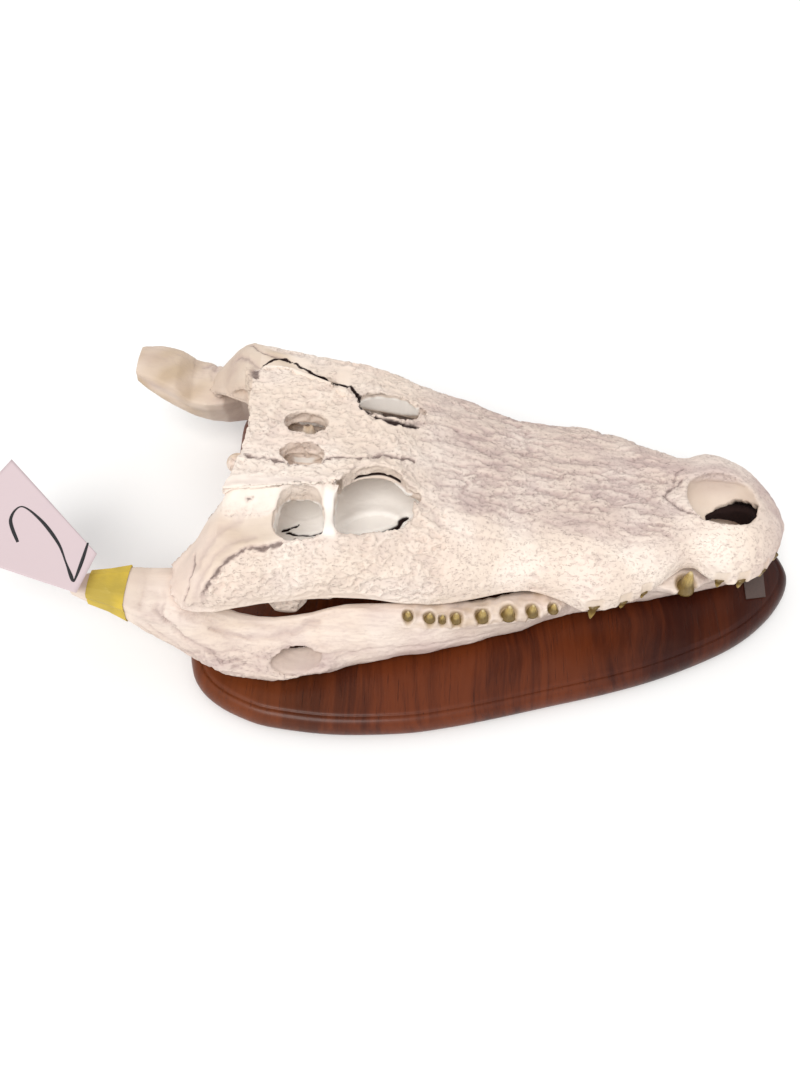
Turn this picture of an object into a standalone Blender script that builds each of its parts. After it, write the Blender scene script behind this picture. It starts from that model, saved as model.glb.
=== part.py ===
"""Crocodile skull with its lower jaw, still, on a shaped wooden plaque, with a paper tag.

Sizes are in metres, +Z up, the snout along +X and the animal's left side along +Y.
Stations and places are given in skull lengths, from the back of the skull table (0)
to the tip of the snout (1), and one driving length turns them into metres.
Heights count from the top of the plaque, and the last step lifts the whole model so
that the plaque's underside lies on Z = 0, centred under the model.
"""

import math

import bmesh
import bpy
import numpy as np
from mathutils import Matrix, Vector

# Driving dimensions, in metres
SKULL_LENGTH = 0.50
CARD_THICKNESS = 0.0012
TAPE_THICKNESS = 0.0008
TAPE_CLEARANCE = 0.0005
GAP = 0.0003
SLIVER = 0.000004

# Meshes are built in metres, so one skull length is this many of them
S = SKULL_LENGTH
HALF_GAP = 0.5 * GAP / S

# Half width of the upper jaw's toothed margin, and the margin's height, along the skull
MARGIN_HALF_WIDTH = [(-0.10, 0.272), (-0.085, 0.292), (-0.065, 0.301), (-0.03, 0.301), (0.0, 0.293),
                     (0.056, 0.276), (0.11, 0.264), (0.17, 0.253), (0.237, 0.247), (0.29, 0.244),
                     (0.36, 0.233), (0.43, 0.212), (0.48, 0.196), (0.52, 0.190), (0.57, 0.195),
                     (0.625, 0.206), (0.68, 0.191), (0.735, 0.162), (0.78, 0.131), (0.806, 0.117),
                     (0.83, 0.127), (0.86, 0.138), (0.90, 0.133), (0.935, 0.113), (0.965, 0.082),
                     (0.985, 0.050), (0.996, 0.022), (1.0, 0.006)]
MARGIN_HEIGHT = [(-0.10, 0.156), (-0.06, 0.158), (0.0, 0.157), (0.056, 0.155), (0.17, 0.150),
                 (0.237, 0.145), (0.29, 0.132), (0.36, 0.120), (0.43, 0.117), (0.50, 0.116),
                 (0.56, 0.103), (0.62, 0.083), (0.68, 0.086), (0.735, 0.097), (0.79, 0.114),
                 (0.81, 0.118), (0.835, 0.108), (0.87, 0.097), (0.93, 0.093), (1.0, 0.096)]
# Height of the skull's upper midline
CREST_HEIGHT = [(-0.02, 0.296), (0.04, 0.293), (0.12, 0.292), (0.20, 0.287), (0.26, 0.284),
                (0.315, 0.259), (0.37, 0.240), (0.44, 0.224), (0.52, 0.210), (0.62, 0.197),
                (0.70, 0.191), (0.76, 0.191), (0.80, 0.195), (0.86, 0.196), (0.92, 0.180),
                (0.96, 0.157), (0.985, 0.130), (1.0, 0.108)]

# Planes on which the skull is parted, in skull lengths
SNOUT_REAR = 0.315
BROW_REAR = 0.172
ROOF_UNDERSIDE = 0.262
BRAINCASE_SIDE = 0.112
PALATE_TOP = 0.150
JAW_JOINT_HEIGHT = 0.150

# Lower jaw: along the skull, then outer and inner half widths at the bottom and the top,
# and the bottom's and the top's height. The rear ends differ: the left one is blunt and broad
LEFT_JAW_REAR = [(-0.256, 0.309, 0.244, 0.314, 0.243, 0.144, 0.183),
                 (-0.22, 0.318, 0.228, 0.322, 0.226, 0.120, 0.184),
                 (-0.17, 0.322, 0.220, 0.323, 0.210, 0.088, 0.174),
                 (-0.12, 0.326, 0.230, 0.320, 0.198, 0.050, 0.150)]
RIGHT_JAW_REAR = [(-0.268, 0.277, 0.252, 0.278, 0.251, 0.149, 0.169),
                  (-0.25, 0.283, 0.244, 0.285, 0.243, 0.138, 0.174),
                  (-0.22, 0.287, 0.238, 0.289, 0.236, 0.126, 0.172),
                  (-0.17, 0.297, 0.223, 0.297, 0.213, 0.092, 0.163),
                  (-0.12, 0.311, 0.230, 0.304, 0.198, 0.050, 0.150)]
RAMUS_STATIONS = [(-0.08, 0.318, 0.250, 0.304, 0.206, 0.022, 0.150),
                  (-0.04, 0.330, 0.276, 0.304, 0.244, 0.008, 0.124),
                  (0.01, 0.342, 0.290, 0.300, 0.254, 0.001, 0.103),
                  (0.06, 0.345, 0.296, 0.294, 0.258, 0.000, 0.099),
                  (0.12, 0.335, 0.288, 0.283, 0.250, 0.000, 0.103),
                  (0.20, 0.311, 0.268, 0.266, 0.236, 0.002, 0.122),
                  (0.28, 0.289, 0.246, 0.262, 0.226, 0.006, 0.120),
                  (0.36, 0.268, 0.226, 0.257, 0.212, 0.009, 0.108),
                  (0.45, 0.238, 0.194, 0.241, 0.190, 0.010, 0.100),
                  (0.53, 0.206, 0.160, 0.222, 0.160, 0.010, 0.096),
                  (0.565, 0.190, 0.145, 0.208, 0.145, 0.009, 0.088),
                  (0.60, 0.174, 0.128, 0.168, 0.126, 0.008, 0.077),
                  (0.64, 0.160, 0.112, 0.156, 0.112, 0.006, 0.084),
                  (0.70, 0.142, 0.078, 0.142, 0.080, 0.002, 0.090),
                  (0.75, 0.128, 0.036, 0.140, 0.040, 0.000, 0.091),
                  (0.785, 0.119, 0.004, 0.150, 0.004, 0.000, 0.092),
                  (0.82, 0.109, 0.000, 0.140, 0.000, 0.001, 0.091),
                  (0.85, 0.102, 0.000, 0.114, 0.000, 0.003, 0.087),
                  (0.88, 0.094, 0.000, 0.103, 0.000, 0.006, 0.084),
                  (0.92, 0.075, 0.000, 0.086, 0.000, 0.014, 0.081),
                  (0.955, 0.050, 0.000, 0.060, 0.000, 0.028, 0.079),
                  (0.975, 0.026, 0.000, 0.038, 0.000, 0.042, 0.077)]
RAMUS_LIFT = GAP / S

# Teeth, from the front backwards: place along the skull, radius at the gum, crown length
UPPER_TEETH = [(0.975, 0.0055, 0.010), (0.945, 0.0065, 0.012), (0.902, 0.0080, 0.015), (0.862, 0.0090, 0.014),
               (0.722, 0.0075, 0.011), (0.685, 0.0085, 0.013), (0.632, 0.0110, 0.024)]
LOWER_TEETH = [(0.806, 0.0130, 0.034), (0.562, 0.0070, 0.013), (0.523, 0.0085, 0.016), (0.481, 0.0100, 0.019),
               (0.434, 0.0090, 0.016), (0.388, 0.0075, 0.013), (0.364, 0.0050, 0.013), (0.342, 0.0070, 0.011),
               (0.304, 0.0065, 0.010)]

# Plaque: half width along its own axis, its turn about a point on the skull's axis, its edge's steps
PLAQUE_HALF_WIDTH = [(-0.077, 0.285), (-0.058, 0.337), (-0.025, 0.372), (0.020, 0.396), (0.083, 0.414),
                     (0.179, 0.419), (0.317, 0.405), (0.402, 0.384), (0.489, 0.356), (0.577, 0.325),
                     (0.666, 0.294), (0.758, 0.257), (0.850, 0.210), (0.927, 0.161), (0.990, 0.100),
                     (1.026, 0.045), (1.037, 0.015), (1.039, 0.0)]
PLAQUE_REAR_DIP = 0.013
PLAQUE_PIVOT = 0.30
PLAQUE_TURN = math.radians(-2.0)
PLAQUE_MOULDING = [(-0.022, 0.0), (-0.0212, -0.0012), (-0.013, -0.0015), (-0.006, -0.004), (-0.001, -0.008),
                   (0.0, -0.012), (-0.001, -0.018), (-0.005, -0.022)]

BONE = (0.83, 0.74, 0.66, 1.0)
WOOD = (0.16, 0.035, 0.012, 1.0)
PAPER = (0.80, 0.76, 0.80, 1.0)
GREY_CARD = (0.42, 0.39, 0.37, 1.0)
TAPE = (0.50, 0.33, 0.05, 1.0)


def curve_value(stations, x, column=1):
    """Value of a smooth curve through the stations at x."""
    xs = np.array([row[0] for row in stations])
    ys = np.array([row[column] for row in stations])
    chords = np.diff(ys) / np.diff(xs)
    slopes = np.empty_like(ys)
    slopes[0] = chords[0]
    slopes[-1] = chords[-1]
    same_way = chords[:-1] * chords[1:] > 0
    mean = 2 * chords[:-1] * chords[1:] / np.where(same_way, chords[:-1] + chords[1:], 1)
    slopes[1:-1] = np.where(same_way, mean, 0)
    i = int(np.clip(np.searchsorted(xs, x) - 1, 0, len(xs) - 2))
    width = xs[i + 1] - xs[i]
    t = min(max((x - xs[i]) / width, 0.0), 1.0)
    a = (1 + 2 * t) * (1 - t) ** 2 * ys[i] + t * t * (3 - 2 * t) * ys[i + 1]
    b = width * (t * (1 - t) ** 2 * slopes[i] - t * t * (1 - t) * slopes[i + 1])
    return float(a + b)


def margin_width(x):
    return curve_value(MARGIN_HALF_WIDTH, x)


def margin_height(x):
    return curve_value(MARGIN_HEIGHT, x)


def crest_height(x):
    return curve_value(CREST_HEIGHT, x)


def rounded_ring(corners, count):
    """Closed smooth ring through the corners, count points a corner."""
    corners = np.array(corners, float)
    ring = []
    for i in range(len(corners)):
        p0, p1, p2, p3 = (corners[(i + k - 1) % len(corners)] for k in range(4))
        for step in range(count):
            t = step / count
            ring.append(0.5 * (2 * p1 + (p2 - p0) * t + (2 * p0 - 5 * p1 + 4 * p2 - p3) * t * t
                               + (3 * p1 - p0 - 3 * p2 + p3) * t ** 3))
    return np.array(ring)


def new_object(name, mesh_data):
    """A triangulated object from a bmesh given in skull lengths, its faces pointing outwards."""
    bmesh.ops.scale(mesh_data, vec=(S, S, S), verts=mesh_data.verts)
    bmesh.ops.triangulate(mesh_data, faces=mesh_data.faces)
    if mesh_data.calc_volume(signed=True) < 0:
        bmesh.ops.reverse_faces(mesh_data, faces=mesh_data.faces)
    mesh = bpy.data.meshes.new(name)
    mesh_data.to_mesh(mesh)
    mesh_data.free()
    obj = bpy.data.objects.new(name, mesh)
    bpy.context.scene.collection.objects.link(obj)
    return obj


def loft(rings, name="piece"):
    """Closed body over rings of equal count, capped at both ends."""
    bm = bmesh.new()
    rows = [[bm.verts.new(point) for point in ring] for ring in rings]
    for row, following in zip(rows, rows[1:]):
        for i in range(len(row)):
            j = (i + 1) % len(row)
            bm.faces.new((row[i], row[j], following[j], following[i]))
    for row in (rows[0], rows[-1]):
        centre = bm.verts.new(sum((v.co for v in row), Vector()) / len(row))
        for i in range(len(row)):
            j = (i + 1) % len(row)
            bm.faces.new((row[j], row[i], centre) if row is rows[0] else (row[i], row[j], centre))
    return new_object(name, bm)


def ball(centre, radii, segments=16, rings=10):
    """An ellipsoid, for rounded knobs and for cutters."""
    bm = bmesh.new()
    place = Matrix.Translation(centre) @ Matrix.Diagonal((*radii, 1.0))
    bmesh.ops.create_uvsphere(bm, u_segments=segments, v_segments=rings, radius=1.0, matrix=place)
    return new_object("ball", bm)


def box(low, high):
    """A plain box between two corners, for the planes that part the skull."""
    bm = bmesh.new()
    middle = [(a + b) / 2 for a, b in zip(low, high)]
    place = Matrix.Translation(middle) @ Matrix.Diagonal([b - a for a, b in zip(low, high)] + [1.0])
    bmesh.ops.create_cube(bm, size=1.0, matrix=place)
    return new_object("box", bm)


def oval_prism(centre, half_x, half_y, low, high, power=2.3, count=28):
    """An upright rounded prism."""
    rings = []
    for height in (low, high):
        ring = []
        for i in range(count):
            angle = 2 * math.pi * i / count
            c, s = math.cos(angle), math.sin(angle)
            x = half_x * math.copysign(abs(c) ** (2 / power), c)
            y = half_y * math.copysign(abs(s) ** (2 / power), s)
            ring.append((centre[0] + x, centre[1] + y, height))
        rings.append(ring)
    return loft(rings)


def bar(points, radii, sides=10):
    """A rounded bar along points, with a half width and a half height at each."""
    rings = []
    points = [Vector(p) for p in points]
    run = points[-1] - points[0]
    upright = abs(run.z) < 0.7 * run.length
    for i, point in enumerate(points):
        way = (points[min(i + 1, len(points) - 1)] - points[max(i - 1, 0)]).normalized()
        across = way.cross(Vector((0, 0, 1)) if upright else Vector((1, 0, 0))).normalized()
        up = across.cross(way).normalized()
        wide, high = radii[i]
        rings.append([point + across * wide * math.cos(a) + up * high * math.sin(a)
                      for a in (2 * math.pi * k / sides for k in range(sides))])
    return loft(rings)


def sided_bar(rows, side):
    """A bar from rows of a point, a half width and a half height, on one side of the skull."""
    return bar([(x, side * y, z) for x, y, z, wide, high in rows], [row[3:] for row in rows])


def largest_shell(bm):
    """Removes everything but the largest closed surface."""
    left = set(bm.faces)
    shells = []
    while left:
        shell = {left.pop()}
        edge_of_search = list(shell)
        while edge_of_search:
            face = edge_of_search.pop()
            for edge in face.edges:
                for other in edge.link_faces:
                    if other in left:
                        left.remove(other)
                        shell.add(other)
                        edge_of_search.append(other)
        shells.append(shell)
    shells.sort(key=lambda shell: sum(face.calc_area() for face in shell))
    for shell in shells[:-1]:
        bmesh.ops.delete(bm, geom=list(shell), context="FACES")


def clean(mesh):
    """Drops slivers and loose scraps and leaves triangles."""
    bm = bmesh.new()
    bm.from_mesh(mesh)
    bmesh.ops.remove_doubles(bm, verts=bm.verts, dist=SLIVER)
    bmesh.ops.dissolve_degenerate(bm, edges=bm.edges, dist=SLIVER)
    largest_shell(bm)
    bmesh.ops.triangulate(bm, faces=bm.faces)
    bm.to_mesh(mesh)
    bm.free()


def collection_of(objects, name):
    """A collection that holds the objects, hidden from renders."""
    group = bpy.data.collections.new(name)
    for obj in objects:
        bpy.context.scene.collection.objects.unlink(obj)
        group.objects.link(obj)
        obj.hide_render = True
        obj.display_type = "WIRE"
    bpy.context.scene.collection.children.link(group)
    return group


def apply_boolean(obj, group, operation):
    """Joins the group to the object, or cuts it away, and removes the group's objects."""
    modifier = obj.modifiers.new(operation.title(), "BOOLEAN")
    modifier.operation = operation
    modifier.operand_type = "COLLECTION"
    modifier.collection = group
    modifier.solver = "EXACT"
    mesh = bpy.data.meshes.new_from_object(obj.evaluated_get(bpy.context.evaluated_depsgraph_get()))
    obj.modifiers.clear()
    obj.data = mesh
    for other in list(group.objects):
        bpy.data.objects.remove(other)
    bpy.data.collections.remove(group)


def fuse(name, pieces, cutters, material):
    """One closed body from pieces that cross, less the cutters."""
    obj = pieces[0]
    obj.name = name
    if pieces[1:]:
        apply_boolean(obj, collection_of(pieces[1:], name + "_pieces"), "UNION")
    if cutters:
        apply_boolean(obj, collection_of(cutters, name + "_cutters"), "DIFFERENCE")
    clean(obj.data)
    obj.data.name = name
    obj.data.materials.clear()
    obj.data.materials.append(material)
    obj.data.shade_smooth()
    obj.data.set_sharp_from_angle(angle=math.radians(35))
    return obj


def material(name, colour, roughness):
    """A plain surface with one colour."""
    made = bpy.data.materials.new(name)
    made.use_nodes = True
    surface = made.node_tree.nodes["Principled BSDF"]
    surface.inputs["Base Color"].default_value = colour
    surface.inputs["Roughness"].default_value = roughness
    surface.inputs["Metallic"].default_value = 0.0
    return made


FAR = 2.0


def behind(x):
    """Cutter for all that lies towards the neck from x, with its half of the gap."""
    return box((-FAR, -FAR, -FAR), (x + HALF_GAP, FAR, FAR))


def ahead_of(x):
    """Cutter for all that lies towards the snout from x."""
    return box((x - HALF_GAP, -FAR, -FAR), (FAR, FAR, FAR))


def above(z):
    """Cutter for all that lies above z."""
    return box((-FAR, -FAR, z - HALF_GAP), (FAR, FAR, FAR))


def below(z):
    """Cutter for all that lies below z."""
    return box((-FAR, -FAR, -FAR), (FAR, FAR, z + HALF_GAP))


def inside_of(y, side):
    """Cutter for all that lies on the midline's side of y."""
    limits = sorted((side * (y + HALF_GAP), -side * FAR))
    return box((-FAR, limits[0], -FAR), (FAR, limits[1], FAR))


def outside_of(y, side):
    """Cutter for all that lies outside y, on one side."""
    limits = sorted((side * (y - HALF_GAP), side * FAR))
    return box((-FAR, limits[0], -FAR), (FAR, limits[1], FAR))


# Eye sockets, the opening behind each and the one in the skull table: corners seen from above, away from
# the midline. The openings of the left side are the smaller ones
RIGHT_ORBIT = [(0.174, 0.112), (0.188, 0.088), (0.215, 0.070), (0.256, 0.068), (0.286, 0.088), (0.302, 0.116),
               (0.300, 0.146), (0.276, 0.170), (0.240, 0.186), (0.182, 0.195), (0.170, 0.160)]
LEFT_ORBIT = [(0.190, 0.100), (0.200, 0.074), (0.222, 0.058), (0.252, 0.052), (0.280, 0.056), (0.300, 0.072),
              (0.304, 0.098), (0.290, 0.122), (0.262, 0.134), (0.222, 0.136), (0.198, 0.124)]
RIGHT_CHEEK_OPENING = [(0.074, 0.152), (0.088, 0.128), (0.138, 0.124), (0.149, 0.146), (0.152, 0.198),
                       (0.116, 0.212), (0.088, 0.212), (0.072, 0.188)]
LEFT_CHEEK_OPENING = [(0.074, 0.142), (0.088, 0.124), (0.138, 0.120), (0.150, 0.136), (0.150, 0.158),
                      (0.128, 0.168), (0.092, 0.170), (0.076, 0.160)]
TABLE_OPENING = [(0.068, 0.037), (0.079, 0.018), (0.106, 0.012), (0.133, 0.018), (0.144, 0.037),
                 (0.133, 0.056), (0.106, 0.062), (0.079, 0.056)]
# The skull table's midline, a little to the right of the skull's
TABLE_MIDLINE = -0.015
# Heights between which the roof and the cheeks are cut
ROOF_CUT = (0.16, 0.34)
CHEEK_CUT = (0.10, 0.34)


def opening(corners, side, low, high):
    """Cutter of one of the paired openings, on one side."""
    rim = rounded_ring(corners, 3)
    return loft([[(x, side * y, z) for x, y in rim] for z in (low, high)])


def orbit(side, low, high):
    """Cutter of the eye socket on one side."""
    return opening(LEFT_ORBIT if side > 0 else RIGHT_ORBIT, side, low, high)


# A tooth's sections: place along it in lengths, radius in gum radii
TOOTH_SECTIONS = [(0.0, 1.0), (0.45, 0.78), (0.85, 0.38)]
ROOT_DEPTH = 0.7
TOOTH_SIDES = 6
TOOTH_LEAN = 0.1


def tooth(base, way, length, radius):
    """A curved cone on base, its root sunk, six sided."""
    way = Vector(way).normalized()
    across = way.orthogonal().normalized()
    other = way.cross(across)
    base = Vector(base)
    angles = [2 * math.pi * k / TOOTH_SIDES for k in range(TOOTH_SIDES)]
    rings = []
    for along, wide in [(-ROOT_DEPTH - radius / length, 0.8)] + TOOTH_SECTIONS:
        centre = base + way * along * length
        rings.append([centre + (across * math.cos(a) + other * math.sin(a)) * radius * wide for a in angles])
    return loft(rings, "tooth")


SECTION_POWER = 2.7
TOP_POINTS = 18
RIDGE_PLACE = 0.085
RIDGE_HEIGHT = 0.007
LIP_WIDTH = 0.030
PALATE_DEPTH = 0.008
# Low swellings and hollows on the snout: place along and across, reach along and across, height
SNOUT_SWELLINGS = [(0.44, 0.0, 0.10, 0.032, 0.005), (0.62, 0.115, 0.045, 0.045, 0.006),
                   (0.37, 0.045, 0.05, 0.018, -0.003), (0.775, 0.0, 0.03, 0.06, -0.005)]


def snout_ring(x):
    """Section of the snout at x: arched top, rounded lip, flat palate."""
    width = margin_width(x)
    low = margin_height(x)
    high = crest_height(x)
    ridge = RIDGE_HEIGHT * max(0.0, 1 - abs(x - 0.36) / 0.16)
    ring = []
    for i in range(TOP_POINTS + 1):
        angle = math.pi * i / TOP_POINTS
        c, s = math.cos(angle), math.sin(angle)
        y = width * math.copysign(abs(c) ** (2 / SECTION_POWER), c)
        z = low + (high - low) * abs(s) ** (2 / SECTION_POWER)
        z += ridge * math.exp(-((abs(y) - RIDGE_PLACE) / 0.022) ** 2)
        for along, across, reach_x, reach_y, height in SNOUT_SWELLINGS:
            z += height * math.exp(-((x - along) / reach_x) ** 2 - ((abs(y) - across) / reach_y) ** 2) * s
        ring.append((x, y, z))
    lip = min(LIP_WIDTH, 0.35 * width)
    roof = PALATE_DEPTH * min(1.0, width / 0.06)
    under = [(width * 0.97, -0.005), (width - 0.5 * lip, -0.008), (width - lip, -0.002),
             (width - 1.5 * lip, roof), (0.45 * (width - lip), roof + 0.004)]
    ring += [(x, -y, low + z) for y, z in under]
    ring += [(x, 0.0, low + roof + 0.006)]
    ring += [(x, y, low + z) for y, z in reversed(under)]
    return ring


SNOUT_STEP = 0.020
NARIS_CENTRE = (0.864, -0.012, 0.194)
NARIS_RADII = (0.070, 0.062, 0.060)
NARIS_HOLE = {"centre": (0.885, -0.028), "half_x": 0.040, "half_y": 0.031}
NARIS_HOLE_SPAN = (0.05, 0.16)
TIP_STATIONS = [0.958, 0.968, 0.977, 0.985, 0.991, 0.996, 0.9995]


def snout(bone):
    """Upper jaw in front of the eyes, with its teeth and the nose opening."""
    stations = list(np.arange(SNOUT_REAR - 0.02, 0.955, SNOUT_STEP))
    stations += TIP_STATIONS
    pieces = [loft([snout_ring(x) for x in stations], "snout")]
    for side in (1, -1):
        for x, radius, length in UPPER_TEETH:
            y = margin_width(x) - 0.95 * radius
            gum = (x, side * y, margin_height(x) - 0.002)
            pieces.append(tooth(gum, (0.0, side * TOOTH_LEAN, -1.0), length, radius))
    cutters = [behind(SNOUT_REAR), ball(NARIS_CENTRE, NARIS_RADII, 28, 14),
               oval_prism(**NARIS_HOLE, low=NARIS_HOLE_SPAN[0], high=NARIS_HOLE_SPAN[1])]
    cutters += [orbit(side, *ROOF_CUT) for side in (1, -1)]
    return fuse("snout", pieces, cutters, bone)


# Skull table and brow: along the skull, half width on the right and on the left
ROOF_HALF_WIDTH = [(-0.03, 0.147, 0.147), (-0.01, 0.145, 0.150), (0.03, 0.137, 0.154), (0.06, 0.131, 0.152),
                   (0.095, 0.125, 0.140), (0.13, 0.120, 0.124), (0.160, 0.115, 0.110), (0.18, 0.104, 0.100),
                   (0.20, 0.096, 0.090), (0.33, 0.096, 0.090)]
ROOF_THICKNESS = 0.036
ROOF_EDGE_LIFT = (0.005, 0.004)
ROOF_STEP = 0.016
REAR_CURVE_RADIUS = 0.43
REAR_CURVE_FRONT = 0.004


def roof_ring(x):
    """Section of the skull table and brow: a slab with a raised, rounded edge."""
    crest = crest_height(x)
    edge_lift = ROOF_EDGE_LIFT[0] if x < BROW_REAR else ROOF_EDGE_LIFT[1]
    across = (0.0, 0.35, 0.65, 0.86, 0.97, 1.0, 1.0, 0.93)
    heights = [crest + edge_lift * lift for lift in (0.0, 0.0, 0.25, 0.85, 1.0, 0.45)]
    heights += [crest - 0.6 * ROOF_THICKNESS, crest - ROOF_THICKNESS]
    right, left = (curve_value(ROOF_HALF_WIDTH, x, column) for column in (1, 2))
    ring = [(x, -right * a, z) for a, z in zip(across, heights)]
    return ring + [(x, left * a, z) for a, z in reversed(list(zip(across, heights))[1:])]


def roof_pieces():
    """Skull table and brow as one slab, and its concave rear edge as a cutter."""
    slab = loft([roof_ring(x) for x in np.arange(-0.024, 0.331, ROOF_STEP)], "roof")
    rear = oval_prism((REAR_CURVE_FRONT - REAR_CURVE_RADIUS, 0.0), REAR_CURVE_RADIUS, REAR_CURVE_RADIUS,
                      *ROOF_CUT, power=2.0, count=96)
    return slab, rear


def skull_table(bone):
    """Flat roof over the braincase, with its pair of openings."""
    slab, rear = roof_pieces()
    cutters = [rear, ahead_of(BROW_REAR), below(ROOF_UNDERSIDE)]
    for side in (1, -1):
        corners = [(x, y + side * TABLE_MIDLINE) for x, y in TABLE_OPENING]
        cutters.append(opening(corners, side, *ROOF_CUT))
        cutters.append(orbit(side, *ROOF_CUT))
    return fuse("skull_table", [slab], cutters, bone)


def brow(bone):
    """Bar between the eye sockets, from the skull table to the snout."""
    slab, rear = roof_pieces()
    bpy.data.objects.remove(rear)
    cutters = [behind(BROW_REAR), ahead_of(SNOUT_REAR)]
    cutters += [orbit(side, *ROOF_CUT) for side in (1, -1)]
    return fuse("brow", [slab], cutters, bone)


# Braincase's core: along the skull, half width low down and high up
CORE_STATIONS = [(0.0, 0.036, 0.030), (0.03, 0.040, 0.026), (0.06, 0.036, 0.010), (0.143, 0.030, 0.010),
                 (0.165, 0.026, 0.016)]
# Shelf under the roof's openings: its section from side to side, and its spread along the skull
SHELF_SECTION = [(-0.085, 0.226), (-0.06, 0.232), (0.06, 0.232), (0.085, 0.226), (0.085, 0.20), (0.03, 0.175),
                 (-0.03, 0.175), (-0.085, 0.20)]
SHELF_SPREAD = [(0.045, 0.8), (0.06, 1.0), (0.10, 1.0), (0.14, 0.9), (0.16, 0.6)]
WALL_HALF_WIDTH = 0.13
WALL_TOP = 0.272
# Neck of the knob and the ridge under it: a point, its half width and half height
NECK = [(0.03, 0, 0.195, 0.03, 0.02), (0.0, 0, 0.197, 0.022, 0.016), (-0.02, 0, 0.198, 0.014, 0.012)]
TUBER = [(0.012, 0, 0.20, 0.04, 0.014), (0.010, 0, 0.165, 0.032, 0.014), (0.018, 0, 0.14, 0.02, 0.010)]
KNOB_CENTRE = (-0.020, 0.0, 0.198)
KNOB_RADII = (0.022, 0.020, 0.018)
NECK_OPENING_CENTRE = (0.001, 0.0, 0.2285)
NECK_OPENING_RADII = (0.028, 0.017, 0.012)


def braincase(bone):
    """Hidden core under the skull table, the rear wall and the neck's round knob."""
    rings = []
    for x, low_width, high_width in CORE_STATIONS:
        left, right = TABLE_MIDLINE + high_width, TABLE_MIDLINE - high_width
        corners = [(right, 0.27), (left, 0.27), (left, 0.235), (low_width, 0.20), (0.026, 0.165),
                   (0.022, 0.14), (-0.022, 0.14), (-0.026, 0.165), (-low_width, 0.20), (right, 0.235)]
        rings.append([(x + 0.01, y, z) for y, z in corners])
    trunk = loft(rings, "braincase")
    wall_rings = []
    for y in np.linspace(-WALL_HALF_WIDTH, WALL_HALF_WIDTH, 10):
        spread = abs(y) / WALL_HALF_WIDTH
        low = PALATE_TOP + 0.062 * spread ** 0.8
        middle = 0.5 * (ROOF_UNDERSIDE + low)
        back = 0.008 - 0.022 * spread ** 2
        wall_rings.append([(back, y, WALL_TOP), (back - 0.006, y, middle), (back + 0.002, y, low),
                           (back + 0.024, y, low), (back + 0.030, y, middle), (back + 0.026, y, WALL_TOP)])
    wall = loft(wall_rings)
    shelf = loft([[(x, y * grow, z) for y, z in SHELF_SECTION] for x, grow in SHELF_SPREAD])
    knob = ball(KNOB_CENTRE, KNOB_RADII, 13, 8)
    neck = sided_bar(NECK, 1)
    tuber = sided_bar(TUBER, 1)
    cutters = [above(ROOF_UNDERSIDE), below(PALATE_TOP), ahead_of(BROW_REAR),
               outside_of(BRAINCASE_SIDE, 1), outside_of(BRAINCASE_SIDE, -1),
               ball(NECK_OPENING_CENTRE, NECK_OPENING_RADII, 11, 7)]
    return fuse("braincase", [trunk, wall, shelf, knob, neck, tuber], cutters, bone)


# Upper edge of the cheek's plate: along the skull, half width, height
CHEEK_TOP = [(-0.10, 0.222, 0.174), (-0.075, 0.192, 0.192), (-0.05, 0.164, 0.232), (-0.03, 0.146, 0.256),
             (-0.015, 0.134, 0.268), (0.0, 0.124, 0.270), (0.06, 0.118, 0.270), (0.13, 0.108, 0.270),
             (0.17, 0.104, 0.270), (0.21, 0.104, 0.268), (0.26, 0.104, 0.262), (0.33, 0.104, 0.255)]
CHEEK_THICKNESS = 0.026
JOINT_SPACE_FRONT = 0.02
# Height of the plate's outward swell, along the skull
CHEEK_SWELL = [(-0.10, 0.010), (-0.06, 0.042), (-0.02, 0.058), (0.15, 0.061), (0.24, 0.054), (0.315, 0.041),
               (0.34, 0.041)]
# Points on each face of the plate, crowded towards its lower margin
PLATE_POINTS = 9
PLATE_CROWDING = 1.4
# Jaw joint's roll and the strut above it: across, half thickness, half height
JOINT_ROLL = [(0.203, 0.009, 0.008), (0.222, 0.016, 0.016), (0.25, 0.016, 0.015), (0.275, 0.010, 0.009)]
JOINT_ROLL_PLACE = (-0.089, 0.163)
# Strut from the joint to the braincase: a point, its half width and half height
JOINT_STRUT = [(-0.09, 0.235, 0.166, 0.03, 0.012), (-0.05, 0.205, 0.19, 0.034, 0.014),
               (0.0, 0.15, 0.225, 0.03, 0.018), (0.03, 0.10, 0.245, 0.03, 0.018)]


def cheek_ring(x, side):
    """Section of the cheek's plate at x, from the lower margin up to the roof."""
    low = Vector((margin_width(x), margin_height(x)))
    high = Vector((curve_value(CHEEK_TOP, x), curve_value(CHEEK_TOP, x, 2)))
    way = high - low
    out = Vector((way.y, -way.x)).normalized()
    outer, inner = [], []
    for i in range(PLATE_POINTS):
        share = i / (PLATE_POINTS - 1)
        t = share ** PLATE_CROWDING
        swell = curve_value(CHEEK_SWELL, x) * math.sin(math.pi * share)
        point = low + way * t
        depth = CHEEK_THICKNESS * (0.55 + 0.45 * math.sin(math.pi * min(1.0, 0.15 + t)))
        outer.append(point + out * swell)
        inner.append(point - out * depth)
    ring = outer + list(reversed(inner))
    return [(x, side * p.x, p.y) for p in ring]


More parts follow.
